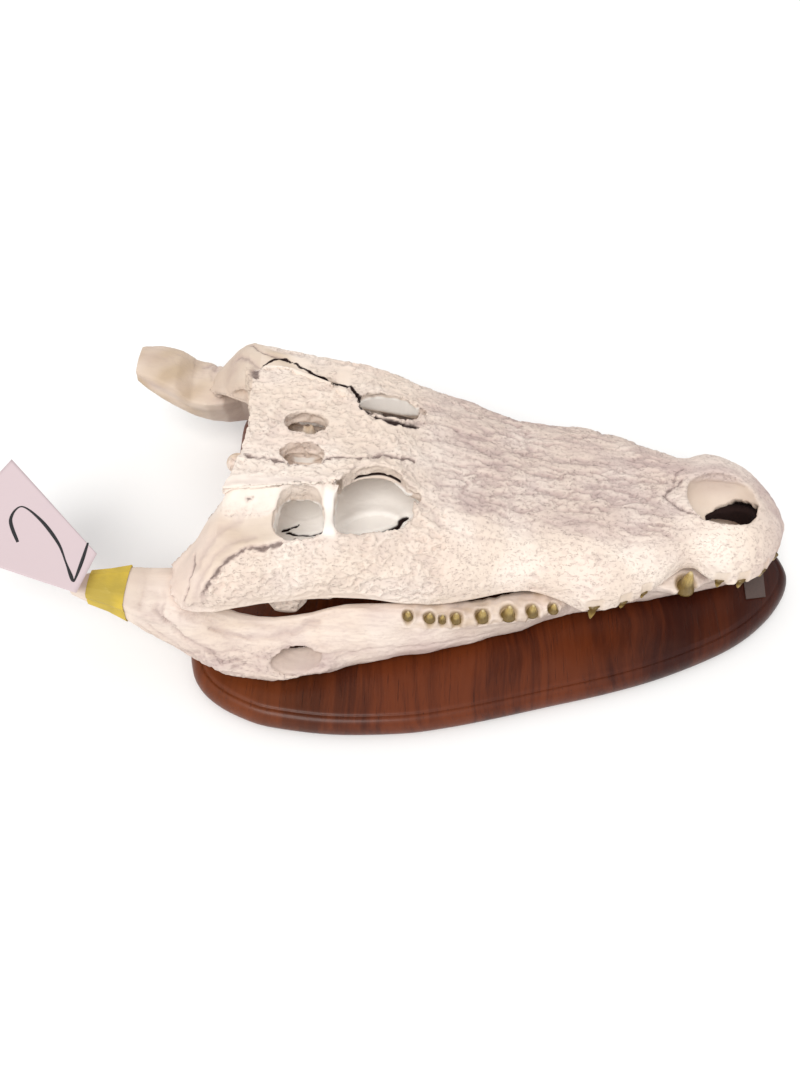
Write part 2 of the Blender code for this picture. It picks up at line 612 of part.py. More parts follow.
def cheek(name, side, bone):
    """Cheek bar, the bar behind the eye and the block that carries the jaw joint."""
    stations = list(np.linspace(-0.096, 0.33, 24))
    pieces = [loft([cheek_ring(x, side) for x in stations], name)]
    x, z = JOINT_ROLL_PLACE
    pieces.append(bar([(x, side * row[0], z) for row in JOINT_ROLL], [row[1:] for row in JOINT_ROLL]))
    pieces.append(sided_bar(JOINT_STRUT, side))
    joint_space = box((-FAR, -FAR, -FAR), (JOINT_SPACE_FRONT, FAR, JAW_JOINT_HEIGHT + HALF_GAP))
    corners = LEFT_CHEEK_OPENING if side > 0 else RIGHT_CHEEK_OPENING
    cutters = [ahead_of(SNOUT_REAR), above(ROOF_UNDERSIDE), inside_of(BRAINCASE_SIDE, side), joint_space,
               orbit(side, *CHEEK_CUT), opening(corners, side, *CHEEK_CUT)]
    return fuse(name, pieces, cutters, bone)


# Floor under the eye sockets: along the skull, half width, height at the middle and at the sides
FLOOR_STATIONS = [(0.030, 0.090, 0.140, 0.132), (0.06, 0.150, 0.142, 0.134), (0.12, 0.185, 0.146, 0.140),
                  (0.18, 0.188, 0.156, 0.150), (0.25, 0.180, 0.164, 0.156), (0.33, 0.158, 0.168, 0.158)]
FLOOR_THICKNESS = 0.024
# Wing beside the lower jaw, and the strut over it to the cheek: a point, its half width and half height
WING = [(0.088, 0.0, 0.128, 0.050, 0.012), (0.088, 0.06, 0.126, 0.048, 0.011),
        (0.088, 0.12, 0.116, 0.045, 0.010), (0.088, 0.18, 0.100, 0.044, 0.012),
        (0.088, 0.222, 0.086, 0.036, 0.018), (0.088, 0.238, 0.080, 0.020, 0.012)]
WING_STRUT = [(0.105, 0.18, 0.106, 0.020, 0.012), (0.138, 0.210, 0.110, 0.018, 0.012),
              (0.165, 0.216, 0.116, 0.015, 0.011), (0.195, 0.204, 0.132, 0.014, 0.010),
              (0.23, 0.185, 0.146, 0.014, 0.010)]


def palate(bone):
    """Bones under the braincase and the eye sockets, with the wings beside the lower jaw."""
    rings = []
    for x, wide, middle, side in FLOOR_STATIONS:
        shoulder = side + 0.3 * (middle - side)
        top = [(-wide, side - 0.010), (-0.85 * wide, side), (-0.4 * wide, shoulder), (0.0, middle),
               (0.4 * wide, shoulder), (0.85 * wide, side), (wide, side - 0.010)]
        under = [(0.85 * wide, side - FLOOR_THICKNESS), (0.0, side - 1.3 * FLOOR_THICKNESS),
                 (-0.85 * wide, side - FLOOR_THICKNESS)]
        rings.append([(x, y, z) for y, z in top + under])
    pieces = [loft(rings, "palate")]
    for side in (1, -1):
        pieces.append(sided_bar(WING, side))
        pieces.append(sided_bar(WING_STRUT, side))
    rear_top = box((-FAR, -FAR, PALATE_TOP - HALF_GAP), (BROW_REAR + HALF_GAP, FAR, FAR))
    return fuse("palate", pieces, [rear_top, ahead_of(SNOUT_REAR)], bone)


RAMUS_PLACES = list(np.arange(-0.268, 0.955, 0.031)) + [0.96, 0.968, 0.975]
RETRO_FRONT = -0.15
JAW_WINDOW = (0.115, 0.05)
JAW_WINDOW_RADII = (0.045, 0.017)
JAW_WINDOW_SPAN = (0.22, 0.40)


def ramus_ring(x, side):
    """Section of one half of the lower jaw at x."""
    rear = LEFT_JAW_REAR if side > 0 else RIGHT_JAW_REAR
    values = [curve_value(rear + RAMUS_STATIONS, x, column) for column in range(1, 7)]
    bottom_out, bottom_in, top_out, top_in, low, high = values
    low += RAMUS_LIFT
    if x > RETRO_FRONT:
        high = min(high, JAW_JOINT_HEIGHT - HALF_GAP)
    bottom_in = max(bottom_in, HALF_GAP)
    top_in = max(top_in, HALF_GAP)
    middle_in = max(HALF_GAP, 0.5 * (bottom_in + top_in))
    height = high - low
    corners = [(0.5 * (bottom_out + bottom_in), low),
               (bottom_out - 0.12 * (bottom_out - bottom_in), low + 0.10 * height),
               (bottom_out + 0.002, low + 0.30 * height),
               (0.5 * (bottom_out + top_out), low + 0.62 * height),
               (top_out, low + 0.90 * height),
               (0.5 * (top_out + top_in), high),
               (top_in, low + 0.90 * height),
               (middle_in, low + 0.5 * height),
               (bottom_in, low + 0.14 * height)]
    ring = rounded_ring(corners, 2)
    ring[:, 0] = np.maximum(ring[:, 0], HALF_GAP)
    ring[:, 1] = np.clip(ring[:, 1], low, high)
    return [(x, side * y, z) for y, z in ring]


def mandible(name, side, bone):
    """One half of the lower jaw with its teeth."""
    end = LEFT_JAW_REAR[0][0] if side > 0 else RIGHT_JAW_REAR[0][0]
    pieces = [loft([ramus_ring(max(x, end), side) for x in RAMUS_PLACES], name)]
    for x, radius, length in LOWER_TEETH:
        y = curve_value(RAMUS_STATIONS, x, 3) - radius
        z = curve_value(RAMUS_STATIONS, x, 6) - 0.004
        pieces.append(tooth((x, side * y, z), (0.0, side * TOOTH_LEAN, 1.0), length, radius))
    x, z = JAW_WINDOW
    cutters = [bar([(x, side * y, z) for y in JAW_WINDOW_SPAN], [JAW_WINDOW_RADII] * 2, 16)]
    return fuse(name, pieces, cutters, bone)


def plaque_outline(grow):
    """Closed outline of the plaque, wider by grow all round, counter-clockwise."""
    stations = [row[0] for row in PLAQUE_HALF_WIDTH]
    xs = []
    for a, b in zip(stations, stations[1:]):
        xs += list(np.linspace(a, b, 3, endpoint=False))
    xs.append(stations[-1])
    half = [(x, curve_value(PLAQUE_HALF_WIDTH, x)) for x in xs]
    corner = PLAQUE_HALF_WIDTH[0][1]
    rear = [(stations[0] + PLAQUE_REAR_DIP * (1 - (y / corner) ** 2), y)
            for y in np.linspace(0, corner, 6, endpoint=False)]
    one_side = rear + half
    points = [(x, -y) for x, y in one_side] + [(x, y) for x, y in reversed(one_side[1:-1])]
    points = np.array(points)
    ahead = np.roll(points, -1, axis=0) - np.roll(points, 1, axis=0)
    normal = np.stack([ahead[:, 1], -ahead[:, 0]], 1)
    normal /= np.linalg.norm(normal, axis=1)[:, None]
    points = points + normal * grow
    c, s = math.cos(PLAQUE_TURN), math.sin(PLAQUE_TURN)
    x = points[:, 0] - PLAQUE_PIVOT
    return [(PLAQUE_PIVOT + a * c - b * s, a * s + b * c) for a, b in zip(x, points[:, 1])]


def plaque(wood):
    """Egg-shaped board with a stepped, rounded edge."""
    rings = []
    for outward, height in PLAQUE_MOULDING:
        rings.append([(x, y, height / S) for x, y in plaque_outline(outward)])
    return fuse("plaque", [loft(rings, "plaque")], [], wood)


LABEL_CORNERS = [(0.945, -0.040), (0.943, -0.098), (0.981, -0.090), (0.986, -0.022)]
TAG_CORNERS = [(-0.420, -0.030), (-0.510, -0.228), (-0.242, -0.306), (-0.226, -0.224)]
TAG_HEIGHT = 0.199


def card(name, corners, low, thickness, look):
    """A flat card over its corners."""
    rings = [[(x, y, z) for x, y in corners] for z in (low, low + thickness / S)]
    return fuse(name, [loft(rings, name)], [], look)


def tag_tape(look):
    """Band of tape round the end of the right half of the lower jaw."""

    def grown(x, by):
        ring = np.array(ramus_ring(x, -1))
        along = np.roll(ring, -1, axis=0) - np.roll(ring, 1, axis=0)
        out = np.stack([np.zeros(len(ring)), -along[:, 2], along[:, 1]], 1)
        out /= np.linalg.norm(out, axis=1)[:, None]
        if np.sum(out * (ring - ring.mean(axis=0))) < 0:
            out = -out
        return [tuple(p) for p in ring + out * by / S]

    outer = loft([grown(x, TAPE_CLEARANCE + TAPE_THICKNESS) for x in RAMUS_PLACES[1:4]], "tag_tape")
    inner = loft([grown(x, TAPE_CLEARANCE) for x in RAMUS_PLACES[:5]])
    return fuse("tag_tape", [outer], [inner], look)


def stand_on_ground(objects):
    """Lifts the model so that it stands on Z = 0, centred on the origin."""
    corners = np.array([v.co for obj in objects for v in obj.data.vertices])
    low, high = corners.min(axis=0), corners.max(axis=0)
    shift = Matrix.Translation((-0.5 * (low[0] + high[0]), -0.5 * (low[1] + high[1]), -low[2]))
    for obj in objects:
        obj.data.transform(shift)


def main():
    for obj in list(bpy.data.objects):
        bpy.data.objects.remove(obj)
    bone = material("bone", BONE, 0.55)
    wood = material("varnished_wood", WOOD, 0.3)
    paper = material("paper", PAPER, 0.8)
    grey = material("grey_card", GREY_CARD, 0.8)
    tape = material("tape", TAPE, 0.5)
    objects = [snout(bone), skull_table(bone), brow(bone), braincase(bone),
               cheek("cheek_left", 1, bone), cheek("cheek_right", -1, bone), palate(bone),
               mandible("mandible_left", 1, bone), mandible("mandible_right", -1, bone),
               plaque(wood), card("label_card", LABEL_CORNERS, GAP / S, CARD_THICKNESS, grey),
               card("tag_card", TAG_CORNERS, TAG_HEIGHT, CARD_THICKNESS, paper), tag_tape(tape)]
    stand_on_ground(objects)


main()
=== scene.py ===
"""Dresses the packed crocodile skull: weathered bone, teeth, varnished board, tag, tape and label."""

import math

import bmesh
import bpy
import numpy as np
from mathutils import Matrix, Vector
from mathutils.bvhtree import BVHTree


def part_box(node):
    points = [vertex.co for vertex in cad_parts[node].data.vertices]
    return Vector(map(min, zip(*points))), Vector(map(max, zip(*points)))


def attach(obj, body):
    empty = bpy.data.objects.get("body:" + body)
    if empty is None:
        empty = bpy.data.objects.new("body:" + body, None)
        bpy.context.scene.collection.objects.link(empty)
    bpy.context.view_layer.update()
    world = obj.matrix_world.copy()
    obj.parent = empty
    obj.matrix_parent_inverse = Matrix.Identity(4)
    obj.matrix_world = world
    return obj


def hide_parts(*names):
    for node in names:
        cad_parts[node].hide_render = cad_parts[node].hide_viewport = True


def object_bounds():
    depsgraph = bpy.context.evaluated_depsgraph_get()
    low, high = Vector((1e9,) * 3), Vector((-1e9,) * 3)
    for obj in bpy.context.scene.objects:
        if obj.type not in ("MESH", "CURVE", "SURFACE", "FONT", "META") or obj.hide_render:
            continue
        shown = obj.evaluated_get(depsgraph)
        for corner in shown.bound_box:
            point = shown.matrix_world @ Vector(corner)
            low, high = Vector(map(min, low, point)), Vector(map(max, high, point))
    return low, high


bl_info = {
    "name": "Mounted crocodile skull",
    "version": (1, 0, 0),
    "blender": (4, 5, 0),
    "location": "3D View > Sidebar > Skull",
    "description": "Builds the visible surfaces of a crocodile skull on its board",
    "category": "Object",
}

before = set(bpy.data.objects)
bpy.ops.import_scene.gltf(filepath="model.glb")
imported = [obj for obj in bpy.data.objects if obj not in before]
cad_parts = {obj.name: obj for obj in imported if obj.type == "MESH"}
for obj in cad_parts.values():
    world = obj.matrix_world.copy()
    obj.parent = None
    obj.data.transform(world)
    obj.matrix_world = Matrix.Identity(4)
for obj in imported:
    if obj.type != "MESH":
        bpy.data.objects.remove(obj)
CAD_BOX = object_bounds()

# The skull's own frame: lengths in skull lengths, from the back of the skull table to the snout's tip
SKULL_LENGTH = 0.50
SNOUT_END = 0.9995
ORIGIN = np.array([
    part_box("snout")[1].x - SNOUT_END * SKULL_LENGTH,
    0.5 * (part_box("snout")[0].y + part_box("snout")[1].y),
    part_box("plaque")[1].z,
])

SKULL_NODES = ["snout", "skull_table", "brow", "braincase", "cheek_left", "cheek_right", "palate"]
# Places along: where the snout, the brow and the nose opening end at the rear
SNOUT_REAR = 0.315
BROW_REAR = 0.172
NOSE_REAR = 0.8
# Heights: underside and lower edge of the skull's roof, the floor seen through the openings, the upper jaw's gum
ROOF_UNDERSIDE = 0.262
ROOF_EDGE = 0.248
FLOOR_TOP = 0.178
GUM_TOP = 0.13

# Teeth: place along the skull, across, height of the gum, radius and crown length
UPPER_TEETH = [
    (0.975, 0.0625, 0.0927, 0.0055, 0.010), (0.945, 0.0983, 0.0912, 0.0065, 0.012),
    (0.902, 0.1249, 0.0920, 0.0080, 0.015), (0.862, 0.1294, 0.0965, 0.0090, 0.014),
    (0.722, 0.1627, 0.0918, 0.0075, 0.011), (0.685, 0.1810, 0.0845, 0.0085, 0.013),
    (0.632, 0.1952, 0.0812, 0.0110, 0.024),
]
LOWER_TEETH = [
    (0.806, 0.1327, 0.0876, 0.0130, 0.034), (0.562, 0.2027, 0.0848, 0.0070, 0.013),
    (0.523, 0.2155, 0.0925, 0.0085, 0.016), (0.481, 0.2245, 0.0945, 0.0100, 0.019),
    (0.434, 0.2353, 0.0971, 0.0090, 0.016), (0.388, 0.2458, 0.1011, 0.0075, 0.013),
    (0.364, 0.2516, 0.1036, 0.0050, 0.013), (0.342, 0.2515, 0.1064, 0.0070, 0.011),
    (0.304, 0.2542, 0.1126, 0.0065, 0.010),
]
TOOTH_LEAN = 0.1
TOOTH_STRETCH = 1.04


def pairs(*numbers, per=1000):
    """Points in a plane, two numbers each, in thousandths of a skull length unless per says otherwise."""
    return np.array(numbers).reshape(-1, 2) / per


# Openings seen from above, left above 0: corners along and across
RIGHT_ORBIT = pairs(174, -112, 188, -88, 215, -70, 256, -68, 286, -88, 302, -116, 300, -146, 276, -170, 240, -186,
                    182, -195, 170, -160)
LEFT_ORBIT = pairs(190, 100, 200, 74, 222, 58, 252, 52, 280, 56, 300, 72, 304, 98, 290, 122, 262, 134, 222, 136,
                   198, 124)
RIGHT_CHEEK_OPENING = pairs(74, -152, 88, -128, 138, -124, 149, -146, 152, -198, 116, -212, 88, -212, 72, -188)
LEFT_CHEEK_OPENING = pairs(74, 142, 88, 124, 138, 120, 150, 136, 150, 158, 128, 168, 92, 170, 76, 160)
TABLE_OPENING = pairs(68, 37, 79, 18, 106, 12, 133, 18, 144, 37, 133, 56, 106, 62, 79, 56)
TABLE_MIDLINE = -0.015
NOSE_OPENING = pairs(800, 10, 822, 36, 864, 47, 908, 36, 930, 4, 926, -38, 900, -66, 856, -72, 816, -52)
NOSE_HOLE = pairs(846, -14, 860, 0, 872, 11, 884, 13, 897, 16, 913, 6, 926, -12, 922, -34, 912, -46, 893, -62,
                  868, -58, 850, -38)
# Rims: the opening, the rise of its rim and how far the rim reaches
RIMS = [
    (RIGHT_ORBIT, 0.0042, 0.011), (LEFT_ORBIT, 0.0030, 0.010), (RIGHT_CHEEK_OPENING, 0.0016, 0.008),
    (LEFT_CHEEK_OPENING, 0.0010, 0.008), (TABLE_OPENING + (0, TABLE_MIDLINE), 0.0012, 0.007),
    (TABLE_OPENING * (1, -1) + (0, TABLE_MIDLINE), 0.0008, 0.006), (NOSE_OPENING, 0.0020, 0.012),
]

# Cracks, seams and folds seen from above: points along and across, width, depth, lowest and highest height
SKULL_LINES = [
    (pairs(3, 122, 3, 143, 11, 168, 29, 180, 48, 182, 67, 175, 98, 156, 138, 138, 169, 132, 189, 121, 202, 107),
           0.0056, 0.0065, 0.22, 0.32),
    (pairs(184, 118, 196, 82, 212, 60, 232, 45, 262, 43, 284, 44, 304, 55), 0.0036, 0.0065, 0.255, 0.32),
    (pairs(12, -66, 21, -68, 42, -69, 78, -74, 100, -78, 127, -70, 155, -55, 191, -54, 219, -46, 247, -38, 276, -38,
           305, -29, 343, -31, 373, -28), 0.0026, 0.005, 0.265, 0.32),
    (pairs(-10, -135, 9, -131, 56, -124, 104, -116, 150, -112), 0.006, 0.002, 0.262, 0.32),
    (pairs(26, -152, 35, -143, 48, -141, 66, -139), 0.0026, 0.006, 0.2, 0.28),
    (pairs(87, -224, 57, -232, 27, -240, 2, -262, -20, -288, -39, -302), 0.0028, 0.0042, 0.15, 0.27),
    (pairs(-61, -229, -60, -259, -65, -281, -74, -296), 0.0034, 0.0036, 0.15, 0.27),
    (pairs(46, -214, 16, -224, -12, -246, -34, -274, -50, -294), 0.006, 0.0024, 0.15, 0.27),
    (pairs(16, -180, -12, -202, -36, -230, -50, -258), 0.0075, 0.0022, 0.15, 0.27),
    (pairs(60, 205, 20, 222, -10, 245, -35, 275), 0.003, 0.004, 0.15, 0.27),
    (pairs(20, 176, -20, 206, -50, 238), 0.006, 0.003, 0.15, 0.27),
    (pairs(271, 47, 293, 54, 323, 72, 346, 78, 401, 74, 455, 63, 502, 47, 548, 42, 595, 46, 642, 49, 688, 40, 733, 29,
           771, 18, 792, 7), 0.003, 0.003, 0.17, 0.32),
    (pairs(310, 24, 347, 38, 385, 36, 424, 37, 470, 16, 515, 2, 562, -2), 0.0026, 0.0026, 0.17, 0.32),
    (pairs(300, -110, 330, -118, 352, -140, 372, -150, 420, -152, 470, -146), 0.0026, 0.0018, 0.15, 0.32),
    (pairs(792, 30, 778, 12, 762, -4, 759, -18, 772, -36, 786, -43, 806, -54), 0.0026, 0.004, 0.15, 0.32),
    (pairs(800, 60, 784, 44, 776, 22), 0.0024, 0.0034, 0.15, 0.32),
    (pairs(815, -62, 842, -66, 872, -66), 0.0024, 0.003, 0.12, 0.32),
]
# Painted shade: dark lines on the floor under the openings' near rims, where the rims' shadow falls, cut in and
# painted dark, the same way
FLOOR_LINES = [
    (pairs(178, -118, 205, -117, 232, -115, 256, -107, 276, -93, 292, -74), 0.0045, 0.012, 0.1, 0.2),
    (pairs(80, -104, 100, -111, 125, -110, 150, -103), 0.0034, 0.009, 0.1, 0.2),
    (pairs(70, -101, 84, -94, 98, -87), 0.0024, 0.007, 0.1, 0.2),
    (pairs(206, 114, 230, 118, 262, 112, 286, 98), 0.005, 0.008, 0.1, 0.2),
    (pairs(78, 4, 92, -3, 110, -6, 128, -2, 139, 10), 0.004, 0.006, 0.2, 0.25),
]
# Painted shade of the far crack's overhanging edge, a dark line where it shows on the low ledge behind the skull table
CRACK_SHADE_FOOT = pairs(0, 172, 7, 195, 25, 210, 48, 212, 70, 200, 96, 182, 129, 165, 152, 154, 172, 146, 188, 128)
# Half width of the skull table on each side, its height, and half width of the smooth cheek, along the skull
TABLE_LEFT = pairs(-20, 147, 30, 154, 60, 152, 95, 140, 130, 124, 172, 104)
TABLE_RIGHT = pairs(-20, 147, 30, 137, 80, 127, 130, 120, 172, 110)
TABLE_TOP = 0.2965
CHEEK_REACH = pairs(-90, 318, -39, 302, -20, 288, 2, 262, 27, 240, 57, 232, 87, 224, 100, 220)

# Lines on the lower jaw's outer face: points along and up, width, depth
JAW_LINES = [
    (pairs(-146, 150, -124, 149, -125, 147, -111, 137, -88, 121), 0.0032, 0.0046),
    (pairs(-112, 148, -104, 132, -90, 108, -77, 90, -35, 68, -17, 55), 0.0034, 0.0052),
    (pairs(-172, 140, -160, 112, -136, 88, -104, 62, -70, 44), 0.003, 0.0036),
    (pairs(-142, 118, -118, 94, -92, 70, -60, 50), 0.0024, 0.0026),
    (pairs(-33, 110, 1, 92, 43, 85, 78, 86, 113, 93, 150, 104), 0.004, 0.004),
    (pairs(60, 64, 95, 70, 130, 66, 160, 56, 200, 60), 0.0026, 0.0028),
    (pairs(180, 50, 240, 58, 300, 52, 380, 48, 460, 44), 0.0022, 0.0018),
]
# Side window: its middle along and up, its half length and half height; then where the jaw's top face begins
JAW_WINDOW = (0.115, 0.050, 0.045, 0.017)
JAW_TOP = pairs(200, 95, 500, 78, 600, 62, 800, 70, 1000, 60)
# A line this deep gets the full painted shade of the seams
DEEP_SEAM = 0.0045
# Stands for the distance of what is not near a line
FAR_OFF = 9.0
# How far the inner face of a bone lies under its outer one, and the rim of the bone with a lid, in metres
SHELL_DEPTH = 0.0015
CAPPED_DEPTH = 0.0035
RELIEF_INPUTS = ("Bump Spacing", "Bump Depth", "Wrinkle Spacing", "Wrinkle Depth", "Lump Height")
KEPT = ("shade_and_speck", "seam_shade", "stain", "socket", "rough", "bleached_and_lit", "gap_shade", "grey_and_shade")

# Board: half width along its own axis, its turn about a point on the skull's axis
BOARD_HALF_WIDTH = pairs(-77, 285, -58, 337, -25, 372, 20, 396, 83, 414, 179, 419, 317, 405, 402, 384, 489, 356,
                         577, 325, 666, 294, 758, 257, 850, 210, 927, 161, 990, 100, 1026, 45, 1037, 15, 1039, 0)
BOARD_REAR_DIP = 0.013
BOARD_PIVOT = 0.30
BOARD_TURN = math.radians(-2.0)
# Board's edge from its top face down: outward from the outline and height below the top, in metres
BOARD_MOULDING = pairs(-140, 0, -112, 0, -106, -7, -98, -14, -88, -13, -80, -7, -66, -10, -46, -22, -26, -42,
                       -11, -70, -3, -98, 0, -128, -3, -160, -12, -188, -30, -212, -52, -220, per=10000)

# Tag: corners along and across, in order round it, and the stroke of its number
TAG_CORNERS = pairs(-420, -30, -510, -228, -242, -306, -226, -224)
NUMBER_STROKE = pairs(-3627, -2110, -3869, -1647, -3757, -1348, -3361, -1610, -2959, -2062, -2727, -2470,
                      -2600, -2700, -2526, -2828, -2500, -2780, -2470, -2400, -2457, -2026, per=10000)
PAPER_THICKNESS = 0.0003
INK_THICKNESS = 0.00012
SHEET_STEPS = 33

# Camera, in skull lengths, from the photograph's view
CAMERA_PLACE = (0.289, -1.325, 1.691)
CAMERA_RIGHT = (0.99840, 0.04649, 0.03223)
CAMERA_UP = (-0.05645, 0.78250, 0.62009)
CAMERA_AHEAD = (-0.00361, 0.62092, -0.78387)
CAMERA_LENS = 37.11
# The broad light: where it comes from, its spread in degrees and its colour, and half the floor's width
KEY_FROM = (-0.20, -0.68, 1.00)
KEY_SPREAD = 34.0
KEY_COLOUR = (1.0, 0.985, 0.96)
FLOOR_REACH = 6.0


def to_world(points):
    """Metres in the part's frame from skull lengths."""
    return np.asarray(points, float) * SKULL_LENGTH + ORIGIN


def to_skull(points):
    """Skull lengths from metres in the part's frame."""
    return (np.asarray(points, float) - ORIGIN) / SKULL_LENGTH


class Field:
    """A number in a node tree. Its operators add Math nodes."""

    def __init__(self, graph, socket):
        self.graph = graph
        self.socket = socket

    def __add__(self, other):
        return self.graph.math("ADD", self, other)

    def __radd__(self, other):
        return self.graph.math("ADD", other, self)

    def __sub__(self, other):
        return self.graph.math("SUBTRACT", self, other)

    def __rsub__(self, other):
        return self.graph.math("SUBTRACT", other, self)

    def __mul__(self, other):
        return self.graph.math("MULTIPLY", self, other)

    def __rmul__(self, other):
        return self.graph.math("MULTIPLY", other, self)

    def __truediv__(self, other):
        return self.graph.math("DIVIDE", self, other)

    def __rtruediv__(self, other):
        return self.graph.math("DIVIDE", other, self)

    def __abs__(self):
        return self.graph.math("ABSOLUTE", self)

    def clamp(self):
        return self.graph.math("MINIMUM", self.graph.math("MAXIMUM", self, 0.0), 1.0)

    def step(self, low, high):
        """0 below low, 1 above high, smooth between. Low may be the larger."""
        return self.graph.node("ShaderNodeMapRange", {"interpolation_type": "SMOOTHSTEP"},
                               {"Value": self, "From Min": low, "From Max": high}, "Result")


class Graph:
    """A node tree that grows by calls."""

    def __init__(self, tree):
        self.tree = tree
        tree.nodes.clear()

    def node(self, kind, settings=None, inputs=None, output=0):
        """Adds a node, its settings first, and gives one of its outputs."""
        made = self.tree.nodes.new(kind)
        for name, value in (settings or {}).items():
            setattr(made, name, value)
        for key, value in (inputs or {}).items():
            if isinstance(value, Field):
                self.tree.links.new(value.socket, made.inputs[key])
            else:
                made.inputs[key].default_value = value
        return Field(self, made.outputs[output]) if len(made.outputs) else made

    def math(self, operation, first, second=None):
        inputs = {0: first} if second is None else {0: first, 1: second}
        return self.node("ShaderNodeMath", {"operation": operation}, inputs)

    def vector(self, operation, first, second):
        return self.node("ShaderNodeVectorMath", {"operation": operation}, {0: first, 1: second})

    def stretched(self, place, *by):
        """The place scaled by a different number along each axis."""
        return self.vector("MULTIPLY", place, by)

    def noise(self, place, scale, detail=2.0, rough=0.5, output=0):
        return self.node("ShaderNodeTexNoise", None,
                         {"Vector": place, "Scale": scale, "Detail": detail, "Roughness": rough}, output)

    def bent(self, place, scale, by):
        """The place pushed about by noise, so that a pattern on it wanders."""
        push = self.vector("SUBTRACT", self.noise(place, scale, 1.0, output="Color"), (0.5, 0.5, 0.5))
        return self.vector("ADD", place, self.stretched(push, by, by, by))

    def veins(self, place, scale, width, detail=2.0, rough=0.5):
        """1 on thin winding lines, 0 away from them."""
        return abs(self.noise(place, scale, detail, rough) - 0.5).step(width, 0.0)

    def paint(self, colour, *layers):
        """A colour under layers of others, each with how much it covers, 0 to 1."""
        for cover, over in layers:
            pair = [one if isinstance(one, Field) else (*one, 1.0) for one in (colour, over)]
            colour = self.node("ShaderNodeMix", {"data_type": "RGBA"}, {0: cover, 6: pair[0], 7: pair[1]}, 2)
        return colour

    def attribute(self, name):
        return self.node("ShaderNodeAttribute", {"attribute_name": name}, None, "Fac")

    def bump(self, height, distance):
        return self.node("ShaderNodeBump", None, {"Height": height, "Distance": distance, "Strength": 1.0})

    def stored(self, name, kind="FLOAT"):
        return self.node("GeometryNodeInputNamedAttribute", {"data_type": kind}, {"Name": name})

    def kept(self, geometry, name, value):
        """The geometry with a number stored on its points."""
        return self.node("GeometryNodeStoreNamedAttribute", {"data_type": "FLOAT", "domain": "POINT"},
                         {"Geometry": geometry, "Name": name, "Value": value})

    def pushed(self, geometry, height):
        """The geometry with its points moved out along their normals."""
        push = self.node("ShaderNodeVectorMath", {"operation": "SCALE"},
                         {0: self.node("GeometryNodeInputNormal"), "Scale": height})
        return self.node("GeometryNodeSetPosition", None, {"Geometry": geometry, "Offset": push})

    def real(self, geometry):
        return self.node("GeometryNodeRealizeInstances", None, {"Geometry": geometry})

    def finish(self, geometry, material):
        """Ends the tree with a material and its output."""
        done = self.node("GeometryNodeSetMaterial", None, {"Geometry": geometry, "Material": material})
        self.node("NodeGroupOutput", None, {"Geometry": done})
        return self.tree


def material(name):
    """Makes a function that gives a Principled surface its sockets into one that gives the finished material."""
    def of_build(build):
        def made():
            found = bpy.data.materials.get(name)
            if not found:
                found = bpy.data.materials.new(name)
                found.use_nodes = True
                graph = Graph(found.node_tree)
                place = graph.node("ShaderNodeTexCoord", None, None, "Object")
                surface = graph.node("ShaderNodeBsdfPrincipled", None, build(graph, place, bpy.context.scene))
                graph.node("ShaderNodeOutputMaterial", None, {"Surface": surface})
            return found
        return made
    return of_build


def geometry_graph(name, numbers):
    """A geometry tree that takes these numbers and a material, and a function that gives an input by its name."""
    tree = bpy.data.node_groups.new(name, "GeometryNodeTree")
    graph = Graph(tree)
    kinds = ["Geometry"] + ["Float"] * len(numbers) + ["Material"]
    for label, kind in zip(("Geometry", *numbers, "Material"), kinds):
        tree.interface.new_socket(label, in_out="INPUT", socket_type="NodeSocket" + kind)
    tree.interface.new_socket("Geometry", in_out="OUTPUT", socket_type="NodeSocketGeometry")
    given = tree.nodes.new("NodeGroupInput")
    return graph, lambda label: Field(graph, given.outputs[label])


class BoneSettings(bpy.types.PropertyGroup):
    """Sizes and colours of the bone"""

    voxel: bpy.props.FloatProperty(
        name="Surface step", description="Edge length of the bone's mesh", default=0.00145, min=0.001, max=0.01,
        unit="LENGTH", precision=5)
    bump_spacing: bpy.props.FloatProperty(
        name="Bump spacing", description="Distance between the bumps in the bone", default=0.0056, min=0.001,
        unit="LENGTH", precision=5)
    bump_depth: bpy.props.FloatProperty(
        name="Bump depth", description="Depth between the bumps", default=0.0010, min=0.0, unit="LENGTH", precision=5)
    wrinkle_spacing: bpy.props.FloatProperty(
        name="Wrinkle spacing", description="Distance between the long wrinkles", default=0.0080, min=0.001,
        unit="LENGTH", precision=5)
    wrinkle_depth: bpy.props.FloatProperty(
        name="Wrinkle depth", description="Depth of the long wrinkles", default=0.0021, min=0.0, unit="LENGTH",
        precision=5)
    lump_height: bpy.props.FloatProperty(
        name="Lump height", description="Height of the low swellings", default=0.0014, min=0.0, unit="LENGTH",
        precision=5)
    cream: bpy.props.FloatVectorProperty(
        name="Bone", description="Colour of clean bone", default=(0.80, 0.675, 0.575), subtype="COLOR")
    pale: bpy.props.FloatVectorProperty(
        name="Pale bone", description="Colour of the bleached patches", default=(0.88, 0.77, 0.68), subtype="COLOR")
    # Painted shade in the pits and wrinkles, and the colour of the scratches and specks
    shade_and_speck: bpy.props.FloatVectorProperty(
        name="Hollows", description="Colour in the pits and wrinkles", default=(0.42, 0.31, 0.30), subtype="COLOR")
    # Painted shade on the turned-away patches, and grey where the bone is greyed
    grey_and_shade: bpy.props.FloatVectorProperty(
        name="Dusky bone", description="Colour of the greyed patches", default=(0.52, 0.395, 0.37), subtype="COLOR")
    tan: bpy.props.FloatVectorProperty(
        name="Stain", description="Colour of the stained smooth bone", default=(0.50, 0.37, 0.24), subtype="COLOR")


